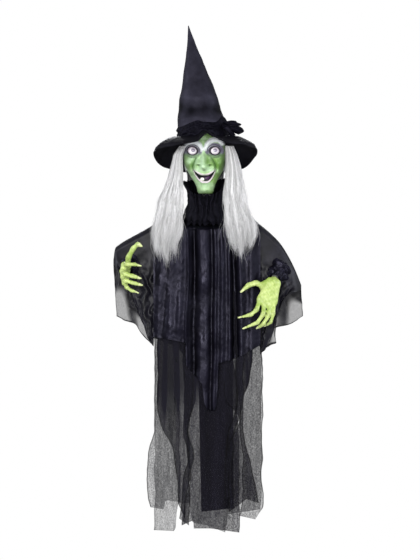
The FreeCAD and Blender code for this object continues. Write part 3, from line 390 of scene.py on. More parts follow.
# ---------------------------------------------------------------- camera and light
def camera_and_light():
    scene = bpy.context.scene
    cam = bpy.data.objects.new("camera", bpy.data.cameras.new("camera"))
    cam.location = (VIEW_X * K, VIEW_Y * K, VIEW_Z * K)
    cam.rotation_euler = (math.pi / 2, 0, 0)
    cam.data.lens = LENS
    cam.data.sensor_width = SENSOR
    scene.collection.objects.link(cam)
    scene.camera = cam
    for name, at, size, power, colour in (
            ("key", (-1.0, -3.2, 0.35), 0.9, 78, (1.0, 0.99, 0.97)),
            ("front", (0.5, -3.4, -0.1), 1.2, 46, (1.0, 1.0, 1.0)),
            ("fill", (1.9, -2.0, 0.4), 1.4, 16, (0.93, 0.95, 1.0)),
            ("side_left", (-2.1, -0.2, 0.5), 0.8, 22, (0.86, 0.89, 1.0)),
            ("side_right", (2.1, -0.2, 0.6), 0.8, 22, (0.86, 0.89, 1.0)),
            ("behind", (0.0, 2.6, 0.9), 1.2, 40, (0.95, 0.96, 1.0))):
        lamp = bpy.data.lights.new(name, "AREA")
        lamp.size, lamp.energy, lamp.color = size, power, colour
        ob = bpy.data.objects.new(name, lamp)
        ob.location = at
        ob.rotation_euler = (Vector((0, -0.05, 0.0)) - Vector(at)).to_track_quat("-Z", "Y").to_euler()
        scene.collection.objects.link(ob)
    world = bpy.data.worlds.new("studio")
    world.use_nodes = True
    tree = world.node_tree
    back = tree.nodes["Background"]
    back.inputs["Color"].default_value = (1, 1, 1, 1)
    seen_white = tree.nodes.new("ShaderNodeMapRange")
    seen_white.inputs["To Min"].default_value = WORLD_LIGHT
    seen_white.inputs["To Max"].default_value = 1.0
    tree.links.new(tree.nodes.new("ShaderNodeLightPath").outputs["Is Camera Ray"], seen_white.inputs["Value"])
    tree.links.new(seen_white.outputs[0], back.inputs["Strength"])
    scene.world = world
    scene.view_settings.view_transform = "Standard"
    corners = np.array([[(x, y, FLOOR_Z) for x in FLOOR_X] for y in FLOOR_Y])
    floor = grid("floor", corners, plastic("floor_paint", (0.8, 0.8, 0.8), 0.9))


# ---------------------------------------------------------------- face
# The face by height z: its half width, the depth of its front and of its widest place, and its middle in x.
FACE_WIDTH = [(41, 10), (43, 14), (46, 15.6), (53, 17.4), (61, 20), (69, 23.8), (77, 28.6), (89, 35.6), (100, 39.8),
              (112, 41.6), (128, 42), (140, 40.5), (168, 32)]
FACE_FRONT = [(41, -92), (44, -101), (50, -106.5), (57, -106), (62, -104), (70, -104.5), (80, -106), (88, -108),
              (100, -107), (112, -104), (124, -101), (134, -104), (144, -108), (156, -108), (168, -103)]
FACE_AXIS = [(41, -82), (60, -77), (80, -66), (96, -59), (110, -55), (168, -55)]
FACE_OUTLINE_X = [(43, -3.0), (57, -2.6), (73, -3.8), (89, -3.6), (105, -4.5), (168, -5.0)]
EYE_X, EYE_AT_Z, EYE_CENTRE_Y, EYE_R, EYE_SQUASH = 21.7, 127.0, -90.2, 9.6, 0.86


def face_axis_x(z):
    """Where the line between the eyes, down the nose and through the mouth runs: the head is turned a little."""
    return -3.2 - (z - 43) * 0.042


def chain_distance(x, z, chain):
    """Distance from each point to a chain of (x, z) points."""
    best = np.full(np.shape(x), 1e9)
    for (ax, az), (bx, bz) in zip(chain[:-1], chain[1:]):
        dx, dz = bx - ax, bz - az
        t = np.clip(((x - ax) * dx + (z - az) * dz) / (dx * dx + dz * dz), 0, 1)
        best = np.minimum(best, np.hypot(x - ax - t * dx, z - az - t * dz))
    return best


SMILE = [(15.5, 113), (18.5, 107), (21.5, 100), (22.5, 94), (22.5, 88)]
BROW = [(4.5, 131), (8, 139), (14, 144.5), (22, 146.5), (31, 145), (39, 137.5)]
MOUTH_TOP = [(0, 77.5), (6, 78), (12, 80.5), (17, 84.5), (21, 89)]
MOUTH_LOW = [(0, 67.3), (5, 67.8), (10, 71), (15, 77), (19, 84), (21, 89)]


def mouth_depth(x, z):
    """How far inside the mouth's opening a point is, in mm, negative outside."""
    ax = np.abs(x)
    top = curve(np.minimum(ax, 21), MOUTH_TOP)
    low = curve(np.minimum(ax, 21), MOUTH_LOW)
    inside = np.minimum(top - z, z - low)
    return np.where(ax < 21, inside, -np.hypot(ax - 21, z - 89))


def face_relief(x, z):
    """Height of the face's features above its basic form, in mm."""
    ax = np.abs(x)
    d = np.zeros(np.shape(x))
    ridge = lerp(z, [(84, 0), (88, 2.5), (91, 13), (94, 21), (98, 22.5), (103, 19), (110, 13.5), (118, 8.5), (126, 5),
                     (134, 2.5), (142, 0)])
    width = lerp(z, [(84, 8), (94, 7.2), (100, 7.0), (108, 5.2), (118, 4.4), (130, 5.5), (142, 8)])
    d += ridge * np.exp(-(np.abs(x + 0.8) / width) ** 2.3)
    d += 9.5 * spot(ax, z, 11.5, 4.8, 102.5, 5.4)                       # nostril wings
    d -= 6.5 * spot(ax, z, 10.5, 2.6, 97.8, 1.9)                        # nostrils
    d += 7.5 * spot(ax, z, 31, 8.5, 105, 9)                             # cheeks
    d += 6.0 * spot(x, z, 0, 17, 87, 6.5)                               # muzzle
    fold = chain_distance(ax, z, SMILE)
    d -= 6.0 * bump(fold, 0, 2.6)
    d += 2.2 * bump(fold, 5.0, 3.0) * step(ax, 20, 24)
    eye = np.hypot((ax - EYE_X) / 1.15, z - EYE_AT_Z)
    d -= 3.6 * np.exp(-(eye / 10.5) ** 2.4)
    d += 2.2 * bump(eye, 9.6, 1.4) * (0.65 + 0.35 * step(z, 120, 134))  # lids
    d -= 1.3 * bump(eye, 12.0, 1.1)                                     # crease round them
    d += 1.4 * bump(eye, 15.0, 1.8) * step(z, 128, 116)                 # bags
    brow = chain_distance(ax, z - 0.115 * x, BROW)
    d += 4.5 * bump(brow, 0, 5.0)
    d -= 2.0 * spot(ax, z, 0, 2.4, 137, 5)                              # frown
    inside = mouth_depth(x, z)
    lip_low = bump(inside, -3.2, 2.4) * step(z, 91, 80)
    lip_top = bump(inside, -2.2, 1.8) * step(z, 76, 80)
    d += 3.2 * lip_low + 1.6 * lip_top
    d -= 13.0 * step(inside, -0.6, 2.2)
    d -= 2.2 * spot(x, z, 0, 14, 60.5, 2.6)                             # under the lip
    d += 3.2 * spot(x, z, 0, 11, 51, 6)                                 # chin
    d -= 2.2 * spot(ax, z, 24, 3.5, 78, 9)                              # beside the mouth
    d += 0.35 * ripple(5, 16)(x, z) + 0.2 * ripple(6, 6)(x, z)
    return d


def face_paint(x, z):
    """The colour at each point of the face: its airbrushed colours, with painted highlights and painted shade laid
    over them.
    """
    ax = np.abs(x)
    mint, leaf, olive = srgb(190, 222, 180), srgb(142, 182, 106), srgb(92, 134, 54)
    white, violet, ink = srgb(246, 250, 255), srgb(120, 112, 138), srgb(22, 16, 30)
    side = ripple(8, 30)(x, z)
    fold = chain_distance(ax, z, SMILE)
    brow = chain_distance(ax, z - 0.115 * x, BROW)
    eye = np.hypot((ax - EYE_X) / 1.12, (z - EYE_AT_Z) / 0.9)
    inside = mouth_depth(x, z)
    lip = bump(inside, -2.6, 2.1, 4) * step(z, 95, 84) * step(ax, 24, 20)
    return layers(
        np.broadcast_to(mint, np.shape(x) + (3,)),
        # an uneven green, darker on the right side as painted shade and paler on the chin as a painted highlight
        (leaf, 0.45 + 0.3 * side + 0.5 * step(x, -8, 14) - 0.5 * spot(x, z, 0, 13, 52, 12)),
        # painted shade: outside the smile folds, on the right cheek and right side, beside the nose ridge and on the
        # face's outer sides
        (olive, 0.75 * spot(ax, z, 24.5, 5, 98, 11) * step(-x, -30, 30)),
        (olive, 0.95 * spot(x, z, 28, 7, 97, 13)),
        (olive * 0.8, 0.6 * step(x, 26, 40) * step(z, 120, 100)),
        (olive, 0.55 * spot(x, z, -27, 4, 97, 9)),
        (olive, 0.7 * bump(x, 7.5, 3.2) * step(z, 96, 104) * step(z, 136, 124)),
        (olive, 0.5 * bump(ax, 36, 5) * step(z, 70, 84)),
        # painted highlights down the nose, over the muzzle and on the left cheek
        (mint, 0.85 * bump(x, -3.5, 4.5) * step(z, 90, 96) * step(z, 134, 122)),
        (mint, 0.8 * spot(x, z, 0, 19, 89, 5.0)),
        (mint, 0.6 * spot(x, z, -31, 7, 106, 6)),
        # painted shadow in the smile folds
        (srgb(46, 86, 22), 0.85 * bump(fold, 0, 1.7)),
        (violet, 0.95 * step(eye, 18.5, 15.5) * step(z, 116, 124)),
        (srgb(92, 110, 96), 0.75 * step(eye, 19.5, 12) * step(z, 127, 115)),
        (white, 0.98 * bump(brow, 0, 5.6, 6) * step(eye, 13.0, 13.9)),
        (white * 0.8, 0.5 * bump(eye, 11.6, 0.6) * step(z, 128, 134)),
        (ink, 0.92 * bump(eye, 12.7, 0.7) * step(z, 122, 132)),
        (ink, 0.97 * step(eye, 11.2, 9.8)),
        # painted shade in the nostrils, a painted shadow under the nose's tip and painted shade in the hollow under
        # the lip
        (srgb(22, 48, 14), 0.95 * spot(ax, z, 11.2, 3.2, 98.6, 1.5)),
        (srgb(40, 80, 30), 0.8 * spot(x, z, -0.3, 3.0, 88.8, 1.8)),
        (srgb(50, 92, 40), 0.5 * spot(x, z, 0, 14, 61, 1.6)),
        (srgb(230, 212, 226), 0.92 * lip * np.clip(0.3 + 0.7 * step(84 - z + ax * 0.5, 2, 7), 0, 1)),
        (ink, step(inside, -1.0, 0.4)),
        (srgb(74, 20, 84), 0.85 * step(inside, 1.0, 3.5) * step(x, -4, 8)),
        # painted shade under the chin
        (olive * 0.8, 0.36 * step(z, 50, 43)))


def face():
    cols, rows = 300, 330
    theta = np.radians(np.linspace(-104, 104, cols))[None, :]
    z = np.linspace(42, 166, rows)[:, None]
    a = curve(z, FACE_WIDTH)
    mid = lerp(z, FACE_AXIS)
    x = a * np.sin(theta)
    cos = np.cos(theta)
    deep = (mid - curve(z, FACE_FRONT)) * np.sign(cos) * np.abs(cos) ** 0.9
    front = step(cos, 0.0, 0.25)
    zz = z + 0 * theta
    turn = lerp(zz, FACE_OUTLINE_X) - face_axis_x(zz)
    d = face_relief(x + turn, zz) * front
    px = x + d * np.sin(theta) * 0.35
    py = mid - deep - d * np.maximum(cos, 0) ** 0.35
    pts = seen(lerp(zz, FACE_OUTLINE_X) + px, py, zz)
    paint = face_paint(px + turn, zz)
    under = []
    for i, s in enumerate(np.linspace(0.93, 0.0, 8)):      # closes the chin from below
        centre = pts[0].mean(0)
        ring = centre + (pts[0] - centre) * s
        ring[:, 2] += 0.35 * i - 0.6 * math.sin(i / 7 * math.pi)
        under.append(ring)
    pts = np.concatenate([np.array(under[::-1]), pts])
    # the cap under the chin takes the face's lowest colours, darkened as painted shade
    paint = np.concatenate([np.repeat(paint[:1], len(under), 0) * 0.7, paint])
    ob = grid("face", pts, painted("face_paint", 0.42, 0.15), paint)
    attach(ob, "head")
    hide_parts("face_shell", "mouth_liner")


def eyes():
    parts = []
    for side in (-1, 1):
        rows, cols = 48, 64
        u, t = column(rows, math.pi * 0.62), circle(cols)
        ball_x, ball_z = EYE_R * np.sin(u) * np.cos(t), EYE_R * np.sin(u) * np.sin(t)
        z = EYE_AT_Z + EYE_SQUASH * ball_z
        y = EYE_CENTRE_Y - EYE_R * np.cos(u) + 0 * t
        off = np.hypot(ball_x - 1.2, ball_z - 0.8)
        glint = np.hypot(ball_x - 0.7, ball_z - 1.4)
        edge = np.sin(u) + 0 * t
        c = layers(
            np.broadcast_to(srgb(246, 240, 247), z.shape + (3,)),
            (srgb(222, 204, 224), 0.7 * step(edge, 0.5, 0.95)),
            (srgb(96, 84, 120), 0.9 * bump(off, 3.4, 0.75)),
            (srgb(190, 170, 205), 0.9 * step(off, 3.0, 2.4)),
            (srgb(30, 22, 48), 0.97 * bump(off, 1.9, 0.7)),
            (srgb(250, 248, 252), step(glint, 1.0, 0.6)),
            (srgb(14, 10, 20), step(edge, 0.93, 0.99)))
        points = seen(face_axis_x(z) + side * EYE_X + ball_x, y, z)
        parts.append((points.reshape(-1, 3), grid_faces(rows, cols, True), c.reshape(-1, 3)))
    ob = join("eyeballs", parts, painted("eye_paint", 0.2, 0.6))
    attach(ob, "head")
    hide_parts("eyes")


def tooth():
    v, t = column(14), circle(24)
    size = np.sqrt(np.clip(1 - (2 * v - 1) ** 6, 0.02, 1))
    x = -4.8 + (3.9 - 0.4 * v) * size * np.sign(np.cos(t)) * np.abs(np.cos(t)) ** 0.7
    z = 67.5 + 6.6 * v + 0 * t
    y = -101.5 + 2.2 * size * np.sign(np.sin(t)) * np.abs(np.sin(t)) ** 0.7
    shade = 0.72 + 0.28 * step(v, 0.0, 0.5) + 0 * t
    c = srgb(250, 247, 236) * shade[..., None]
    ob = grid("front_tooth", seen(face_axis_x(z) + x, y, z), painted("tooth_paint", 0.25, 0.5), c, wrap=True)
    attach(ob, "head")
    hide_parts("tooth")


# ---------------------------------------------------------------- hat
# The crown: height, x of its middle, and radius.
CROWN = [(146, -5.4, 49.5), (168, -8.2, 49.2), (185, -10.8, 47.2), (205, -13.9, 43.0), (228, -16.4, 37.8),
         (252, -18.2, 31.8), (272, -20.9, 26.2), (310, -26.1, 16.0), (340, -30.9, 8.2), (360, -34.4, 3.4),
         (372, -36.4, 1.0)]


def crown_at(z):
    return curve(z, [(c[0], c[1]) for c in CROWN]), curve(z, [(c[0], c[2]) for c in CROWN])


def hat_base(t):
    """Height of the crown's foot round the head, higher in front. t is 0 on the left side and 90 degrees behind."""
    return 151.0 + 11.0 * turn_bump(t, 272, 13) - 2.5 * np.sin(t)


def crown(cloth_mat):
    v, t = column(220) ** 0.93, circle(240)
    z = hat_base(t) + (373.5 - hat_base(t)) * v
    cx, r = crown_at(z)
    dents = ripple(11, 70, 3, 3)
    fine = ripple(12, 18, 2, 3)
    ring_x, ring_y = np.cos(t) * r, np.sin(t) * r
    soft = step(z, 168, 190) * step(z, 372, 330)
    r2 = r + soft * (0.45 * dents(ring_x, ring_y, z * 1.6) + 0.12 * fine(ring_x, ring_y, z))
    facing = np.clip(-np.sin(t), 0, 1)
    low_fold = 190 + 6 * np.sin(t * 3.0 + 0.6)
    r2 += facing * (2.6 * bump(z, 236, 12) - 3.4 * bump(z, 211, 11) + 1.6 * bump(z, low_fold, 5.5))
    r2 += (1 - facing) * (0.8 * bump(z, 230, 14) - 0.8 * bump(z, 206, 10))
    depth = lerp(z, [(146, HEAD_DEPTH), (220, 1.05), (372, 1.0)])
    x = cx + r2 * np.cos(t)
    y = HEAD_Y + (z - 154) * 0.02 + r2 * depth * np.sin(t)
    y -= 0.6 * turn_bump(t, 80, 1.2)                # the seam behind
    # the crown's painted light over an uneven tone: a highlight band at 237 mm, painted shade in the fold at 211 mm,
    # highlight patches on the low folds in front, and a darker strip near the figure's left side
    shade = 0.72 + 0.34 * bump(z, 237, 11) * (0.75 + 0.25 * np.sin(t * 5)) + 0.10 * dents(ring_x, ring_y, z)
    shade -= 0.72 * bump(z, 211 + 3 * np.sin(t * 4), 11) * (0.8 + 0.2 * np.sin(t * 9 + 1))
    shade += 0.45 * bump(z, 184, 5) * step(np.sin(t * 5 + 0.9), 0.1, 0.7) * facing
    shade -= 0.35 * turn_bump(t, 352, 16)
    ob = grid("hat_crown_cloth", seen(x, y, z), cloth_mat, grey(shade, 0.05), wrap=True)
    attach(ob, "head")
    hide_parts("hat_crown")


# Height of the brim's outer edge, by angle: 0 is the figure's left, 90 behind, 270 in front.
BRIM_EDGE = [(0, 130), (20, 113), (40, 97), (60, 89), (90, 84), (120, 86), (140, 94), (160, 109), (180, 124),
             (210, 134), (240, 141), (255, 143.5), (262, 146), (267, 155), (272, 161), (279, 155), (287, 148),
             (300, 142.5), (330, 138), (350, 132.5), (360, 130)]


def brim(cloth_mat):
    s, t = column(70), circle(420)
    deg = np.degrees(t)
    z_in, z_out = hat_base(t) + 1.0, curve(deg, BRIM_EDGE)
    cx, r_in = crown_at(z_in)
    ox = HEAD_X + BRIM_X_R * np.cos(t) - cx
    x = cx + (r_in * np.cos(t)) * (1 - s) + ox * s
    y = HEAD_Y + HEAD_DEPTH * r_in * np.sin(t) * (1 - s) + BRIM_Y_R * np.sin(t) * s
    side = np.abs(np.cos(t)) ** 1.5
    wav = ripple(21, 80, 2, 2)
    z = z_in * (1 - s) + z_out * s + s * (1 - s) * (32 * side + 4) + 2.2 * s * wav(x, y) * step(s, 0.0, 0.6) * side
    curl = step(s, 0.86, 1.0)
    z -= curl * 3.0 * side
    x += curl * -2.0 * np.sign(np.cos(t)) * side
    z += 0.7 * bump(s, 0.965, 0.012)                # the stitched rim
    # the brim is painted far darker than the crown of the same cloth, as painted shade, a little lighter towards its
    # edge and with an uneven tone
    shade = 0.12 + 0.08 * step(s, 0.3, 0.9) + 0.05 * wav(x * 2, y * 2)
    ob = grid("hat_brim_cloth", seen(x, y, z), cloth_mat, grey(shade, 0), wrap=True)
    thicken(ob, 1.6, -1)
    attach(ob, "head")
    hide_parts("hat_brim")


def hat_band(mat):
    s, t = column(60), circle(300)
    deg = np.degrees(t)
    top = curve(deg, [(0, 193), (40, 184), (90, 178), (140, 176), (180, 172), (215, 175), (245, 183), (262, 187),
                      (275, 184), (292, 184), (310, 186), (340, 196), (360, 193)])
    low = hat_base(t) + 1.0
    z = low + (top - low) * s
    cx, r = crown_at(z)
    wrap = ripple(31, 30, 3, 2)
    pleat = 1.0 * np.sin(s * 11 + 1.1 * np.sin(t * 2) + wrap(deg * 0.8, z) * 1.4) + 0.7 * wrap(deg * 1.7, z * 2.2)
    puff = 1.5 + 1.3 * np.sqrt(np.clip(1 - (2 * s - 1) ** 4, 0, 1))
    puff = puff + pleat * np.sqrt(np.clip(1 - (2 * s - 1) ** 8, 0, 1))
    ends = np.clip(np.minimum(s, 1 - s) * 16, 0, 1) ** 0.5
    r2 = r + (puff - 0.8) * ends + 0.2
    depth = lerp(z, [(146, HEAD_DEPTH), (220, 1.05)])
    pts = seen(cx + r2 * np.cos(t), HEAD_Y + (z - 154) * 0.02 + r2 * depth * np.sin(t), z)
    # painted shade in the pleats' hollows and painted light on their ridges
    shade = 0.62 + 0.16 * pleat
    ob = grid("hat_band_cloth", pts, mat, grey(shade), wrap=True)
    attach(ob, "head")
    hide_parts("hat_band")


def hat_bow(mat):
    """Four crumpled loops of the band's cloth round one knot."""
    parts = []
    rng = np.random.default_rng(4)
    knot = (32.0, -98.0, 176.0)
    for reach, lift, back, wide, turn in ((42, -4, 12, 17, 0.2), (34, 8, 4, 15, -0.3), (24, -14, 2, 12, 0.5),
                                          (13, 9, -6, 11, -0.6)):
        rows, cols = 40, 16
        a, b = column(rows, 2 * math.pi), row(cols, -1)
        out = (1 - np.cos(a)) / 2
        x = knot[0] + reach * out * (1 - 0.30 * b * b) + 2.0 * np.sin(b * 4 + reach)
        y = knot[1] + back * out + 5 * np.sin(a) + b * 3 * turn
        z = knot[2] + lift * out - 5 * out * out + b * wide * (0.35 + 0.65 * out) * 0.62 + 3.0 * np.sin(a + b * 2.0)
        crease = np.sin(b * 5 + rng.uniform(0, 6) + out * 3)
        points = seen(x, y + 1.8 * crease * out, z).reshape(-1, 3)
        # painted light and shade along each loop's creases
        parts.append((points, grid_faces(rows, cols), grey(0.7 + 0.3 * crease).reshape(-1, 3)))
    ob = join("hat_bow_cloth", parts, mat)
    thicken(ob, 1.0, 0)
    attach(ob, "head")
    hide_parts("hat_bow")


# ---------------------------------------------------------------- hair
HAIR_FADE = 0.35                                # how much thinner each strand looks at its end
CORE_LENGTH = 0.66                              # how far down a bunch its solid core goes
# Outline of each bunch down its length: height, x of its two edges, depth of its middle, half its thickness.
LOCKS = {
    "left_hair": [(136, 35.5, 53, -70, 12), (120, 37, 60, -73, 20), (98, 36.5, 67, -87, 15), (77, 35.5, 71, -98, 11),
                  (50, 33.5, 74, -106, 9), (30, 33.5, 77, -110, 8), (0, 34, 88, -114, 8), (-18, 36, 96, -116, 8),
                  (-40, 39, 97, -117, 7), (-59, 44, 92, -117, 6), (-78, 52, 80, -117, 4)],
    "right_hair": [(136, -55, -40, -70, 12), (120, -66, -47, -73, 20), (98, -71, -47.5, -87, 14),
                   (77, -77, -46, -98, 11),
                   (50, -86, -47, -106, 9), (30, -95, -47.5, -110, 8), (0, -102, -47, -114, 8),
                   (-18, -107, -48, -116, 8),
                   (-40, -109, -52, -117, 7), (-59, -109, -58, -117, 6), (-89, -103, -56, -117, 4)],
}


def hair_material():
    n = Nodes("wig_fibre", Roughness=0.42, Sheen_Weight=0.15)
    streak = n.noise(1, 3, 0.6, n.scaled(1500, 1500, 40))
    n.times_paint(n.ramp(streak, (0.3, 0.72), (0.7, 1.06)))
    n.alpha(n.paint("Alpha"))
    return n.bump(streak, 0.4, 0.0008).mat


def ribbons(paths, width, tone):
    """Flat strands along paths of shape (strands, points, 3), each turned by its own angle about its length."""
    rng = np.random.default_rng(len(paths) + int(width * 100))
    n, m = paths.shape[:2]
    along = np.gradient(paths, axis=1)
    along /= np.linalg.norm(along, axis=-1, keepdims=True) + 1e-9
    roll = rng.uniform(-0.9, 0.9, n)[:, None]
    sidew = np.stack([np.cos(roll) + 0 * along[..., 0], np.sin(roll) + 0 * along[..., 0], 0 * along[..., 0]], -1)
    sidew -= along * (sidew * along).sum(-1, keepdims=True)
    sidew /= np.linalg.norm(sidew, axis=-1, keepdims=True) + 1e-9
    taper = row(m)
    w = width * rng.uniform(0.6, 1.3, n)[:, None] * (1 - 0.8 * taper**3)
    pts = np.stack([paths - sidew * w[..., None] / 2, paths + sidew * w[..., None] / 2], 2)
    idx = np.arange(n * m * 2).reshape(n, m, 2)
    faces = np.stack([idx[:, :-1, 0], idx[:, :-1, 1], idx[:, 1:, 1], idx[:, 1:, 0]], -1).reshape(-1, 4)
    shade = tone[:, None] * (1 + 0 * taper)
    a = 1 - HAIR_FADE * step(taper, 0.75, 1.0) + 0 * shade
    paint = np.stack([shade * 0.985, shade * 0.985, shade, a], -1)
    paint = np.repeat(paint[:, :, None, :], 2, 2)
    return pts.reshape(-1, 3), faces, paint.reshape(-1, 4)


def hair_core(points, wrap, tone):
    """The inside of a bunch, painted dark as the shade between its strands, which keeps it from being seen through.
    """
    rows, cols = points.shape[:2]
    paint = np.tile([tone, tone, tone * 1.03, 1], (rows * cols, 1))
    return points.reshape(-1, 3), grid_faces(rows, cols, wrap), paint


def bunch(name, seed, mat):
    """One of the two bunches that hang in front of the shoulders."""
    rng = np.random.default_rng(seed)
    table = np.array(LOCKS[name][::-1], float)
    bottom, top = table[0, 0], table[-1, 0]

    def outline(z):
        x0, x1, y, thick = (np.interp(z, table[:, 0], table[:, i]) for i in (1, 2, 3, 4))
        return (x0 + x1) / 2, np.abs(x1 - x0) / 2, y, thick

    parts = []
    for count, width, reach, drift in ((2600, 0.75, 0.98, 4.0), (900, 0.5, 1.05, 10.0)):
        u = rng.uniform(-1, 1, count)
        w = rng.choice([-1.0, 1.0], count, p=[0.62, 0.38]) * np.sqrt(rng.uniform(0, 1, count))
        lock = np.round(u * 5.5) / 5.5
        length = rng.uniform(0.60, 1.0, count) ** 0.7 * reach
        length *= 1 - 0.10 * np.abs(u) + 0.06 * np.sin(u * 9 + 1)
        t = row(40) * length[:, None]
        z = top + (bottom - top) * np.minimum(t, 1.12)
        mid, half, yc, th = outline(np.clip(z, bottom, top))
        gather = 0.72 * step(t, 0.55, 1.0)
        uu = u[:, None] * (1 - gather) + lock[:, None] * gather
        round_ = np.sqrt(np.clip(1 - uu**2, 0.05, 1))
        wave = (rng.normal(size=(count, 1)) * np.sin(t * rng.uniform(3, 8, (count, 1)) + rng.uniform(0, 6,
                                                                                                     (count, 1)))
                * drift * t**1.8)
        frizz = 2.6 * rng.normal(size=(count, 1)) * np.sin(
            t * rng.uniform(14, 34, (count, 1)) + rng.uniform(0, 6, (count, 1))) * step(t, 0.3, 0.9)
        curl = 1.6 * np.sin(t * 19 + lock[:, None] * 19 + rng.uniform(0, 1.6, (count, 1))) * step(t, 0.08, 0.5)
        x = mid + uu * half * 0.95 + (wave + frizz) * 0.8 + curl
        y = yc + w[:, None] * th * round_ * 0.95 - 0.1 * th + frizz * 0.4
        tone = rng.uniform(0.42, 1.0, count) ** 0.8 * (0.86 + 0.14 * np.sin(lock * 23))
        parts.append(ribbons(seen(x, y, z), width, np.clip(tone, 0.25, 0.95)))
    v, a = column(60, CORE_LENGTH), circle(28)
    z = top + (bottom - top) * v
    mid, half, yc, th = outline(z)
    shrink = 0.78 * np.sqrt(np.clip(1 - (v / CORE_LENGTH) ** 5, 0.01, 1))
    core = seen(mid + half * shrink * np.cos(a), yc + th * shrink * 0.6 * np.sin(a), z + 0 * a)
    # its core is painted dark grey as shade
    parts.append(hair_core(core, True, 0.30))
    ob = join(name + "_fibres", parts, mat)
    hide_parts(name)
    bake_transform(ob)


def back_hair(mat):
    """The shorter hair round the back of the head, shortest beside the face."""
    rng = np.random.default_rng(9)
    count = 2300
    ang = np.radians(rng.uniform(-14, 194, count))[:, None]
    beside_face = np.abs(np.degrees(ang) - 90) > 62
    reach = np.where(beside_face, 0.46, 1.0) * rng.uniform(0.66, 1.0, (count, 1))
    reach = reach * (1 + 0.05 * np.sin(ang * 11 + 1) + 0.04 * np.sin(ang * 29))
    t = row(30) * reach
    rx = lerp(t, [(0, 44), (0.3, 41), (0.55, 38), (0.75, 41), (1, 43)])
    ry = lerp(t, [(0, 58), (0.4, 68), (1, 74)])
    depth = rng.uniform(0.93, 1.0, count)[:, None]
    clump = np.sin(ang * 16) * 2.0 * t
    x = HEAD_X + (rx * depth + clump) * np.cos(ang) + 1.4 * np.sin(t * 17 + ang * 9) * t
    y = HEAD_Y + (ry * depth + clump) * np.sin(ang)
    tone = np.clip(rng.uniform(0.42, 1.0, count) ** 0.8 * 0.92, 0, 0.95)
    strands = ribbons(np.stack([x, y, 136 - 112 * t], -1), 1.1, tone)
    v, a = column(30, CORE_LENGTH), np.radians(np.linspace(20, 160, 50))[None, :]
    core = np.stack(np.broadcast_arrays(HEAD_X + lerp(v, [(0, 42), (0.3, 40), (1, 35)]) * np.cos(a),
                                        HEAD_Y + lerp(v, [(0, 55), (0.4, 65), (1, 70)]) * np.sin(a), 134 - 112 * v),
                                        -1)
    # the core is painted dark grey as shade
    ob = join("back_hair_fibres", [strands, hair_core(core, False, 0.28)], mat)
    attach(ob, "head")
    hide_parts("back_hair")


# ---------------------------------------------------------------- collar, robe and sleeves
def collar():
    mat = satin("collar_cloth", (0.0032, 0.003, 0.005), 0.6, 900, gloss=0.1)
    s, t = column(60), circle(500)
    deg = np.degrees(t)
    top = curve(deg, [(0, 74), (60, 70), (120, 68), (180, 66), (205, 62), (230, 47), (250, 41), (270, 39.5),
                      (290, 41),
                      (308, 48), (335, 68), (360, 74)])
    z = -17 + (top + 17) * s
    radius = lerp(s, [(0, 52), (0.12, 47), (0.35, 43), (0.6, 41), (0.85, 43), (1, 46)])
    wob = ripple(41, 40, 2, 2)
    gather = np.sin(deg * 0.42 + wob(deg, z) * 1.3)
    ruffle = gather * (0.7 + 2.6 * s**2) + 0.8 * wob(deg * 1.5, z * 2)
    r = radius + ruffle
    waist = lerp(s, [(0, 0), (0.3, 0.06), (0.45, 0.19), (0.78, 0.19), (0.92, 0.08), (1, 0.04)])
    x = -4 + r * np.cos(t) * 0.99 * (1 - waist * np.clip(-np.cos(t), 0, 1))
    y = COLLAR_Y + r * 0.98 * np.sin(t)
    z = z + 1.5 * gather * s**3 - (1.5 + 2.5 * gather) * (1 - s) ** 3
    # painted shade in the ruffle's hollows and painted light on its crests
    shade = 0.55 + 0.4 * gather
    ob = grid("collar_ruffle", seen(x, y, z), mat, grey(shade), wrap=True)
    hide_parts("collar")
    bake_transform(ob)


# The robe: half its width, and by x the height of its upper edge and of its ragged hem.
ROBE_HALF = 105.5
SHOULDER = [(-110, -20), (-80, -4), (-60, 6), (-50, 2), (-42, -12), (0, -15), (40, -12), (50, 2), (60, 8), (77, 4),
            (100, -14), (112, -24)]
FRONT_HEM = [(-106, -240), (-60, -248), (-42.5, -252), (-41.5, -296), (-28, -312), (-10, -333), (-5, -372),
             (0, -384), (6, -387), (14, -385), (18.5, -378), (21, -340), (23, -292), (44, -287), (72, -276),
             (106, -256)]
BACK_HEM = [(-106, -245), (-60, -262), (-20, -318), (0, -328), (22, -312), (60, -268), (106, -245)]
# Its folds in front: x, width and height.
ROBE_FOLDS = [(-52, 6, 3.0), (-38, 3.0, 5.0), (-25, 5.5, -8.5), (-12, 6, 3.8), (-2, 7, 4.6), (9, 4.5, -4.5),
              (16, 4.0, 4.2), (29, 4.5, 4.6), (43, 4.0, 4.6), (52, 6.5, -7.6), (64, 6, 4.2), (76, 6, -2.4),
              (88, 8, 2.2), (-70, 9, 2.5), (-83, 6, -2.2), (-95, 6, 2.2)]


def robe_sheet(rows, cols, hem):
    """A flat sheet: x and z of its points, and the heights of its upper edge and its hem above and below them."""
    x = ROBE_HALF * row(cols, -1) + 0 * column(rows)
    top, low = curve(x, SHOULDER), lerp(x, hem)
    return x, top + (low - top) * column(rows), top, low


def yoke(z, top):
    """Bends the first stretch of a hanging sheet over the shoulder.

    Returns the new heights, and how far out from the middle the sheet is, from 0 to 1.
    """
    run, round_r = 44.0, 15.0
    share = np.clip((top - z) / run, 0, 1)
    turn = share * math.pi / 2
    bent = top - round_r * (1 - np.cos(turn))
    lift = np.clip(1 - (top - run - z) / 120.0, 0, 1)
    return np.where(share < 1, bent, z + (run - round_r) * lift ** 2), np.sin(turn) ** 0.8


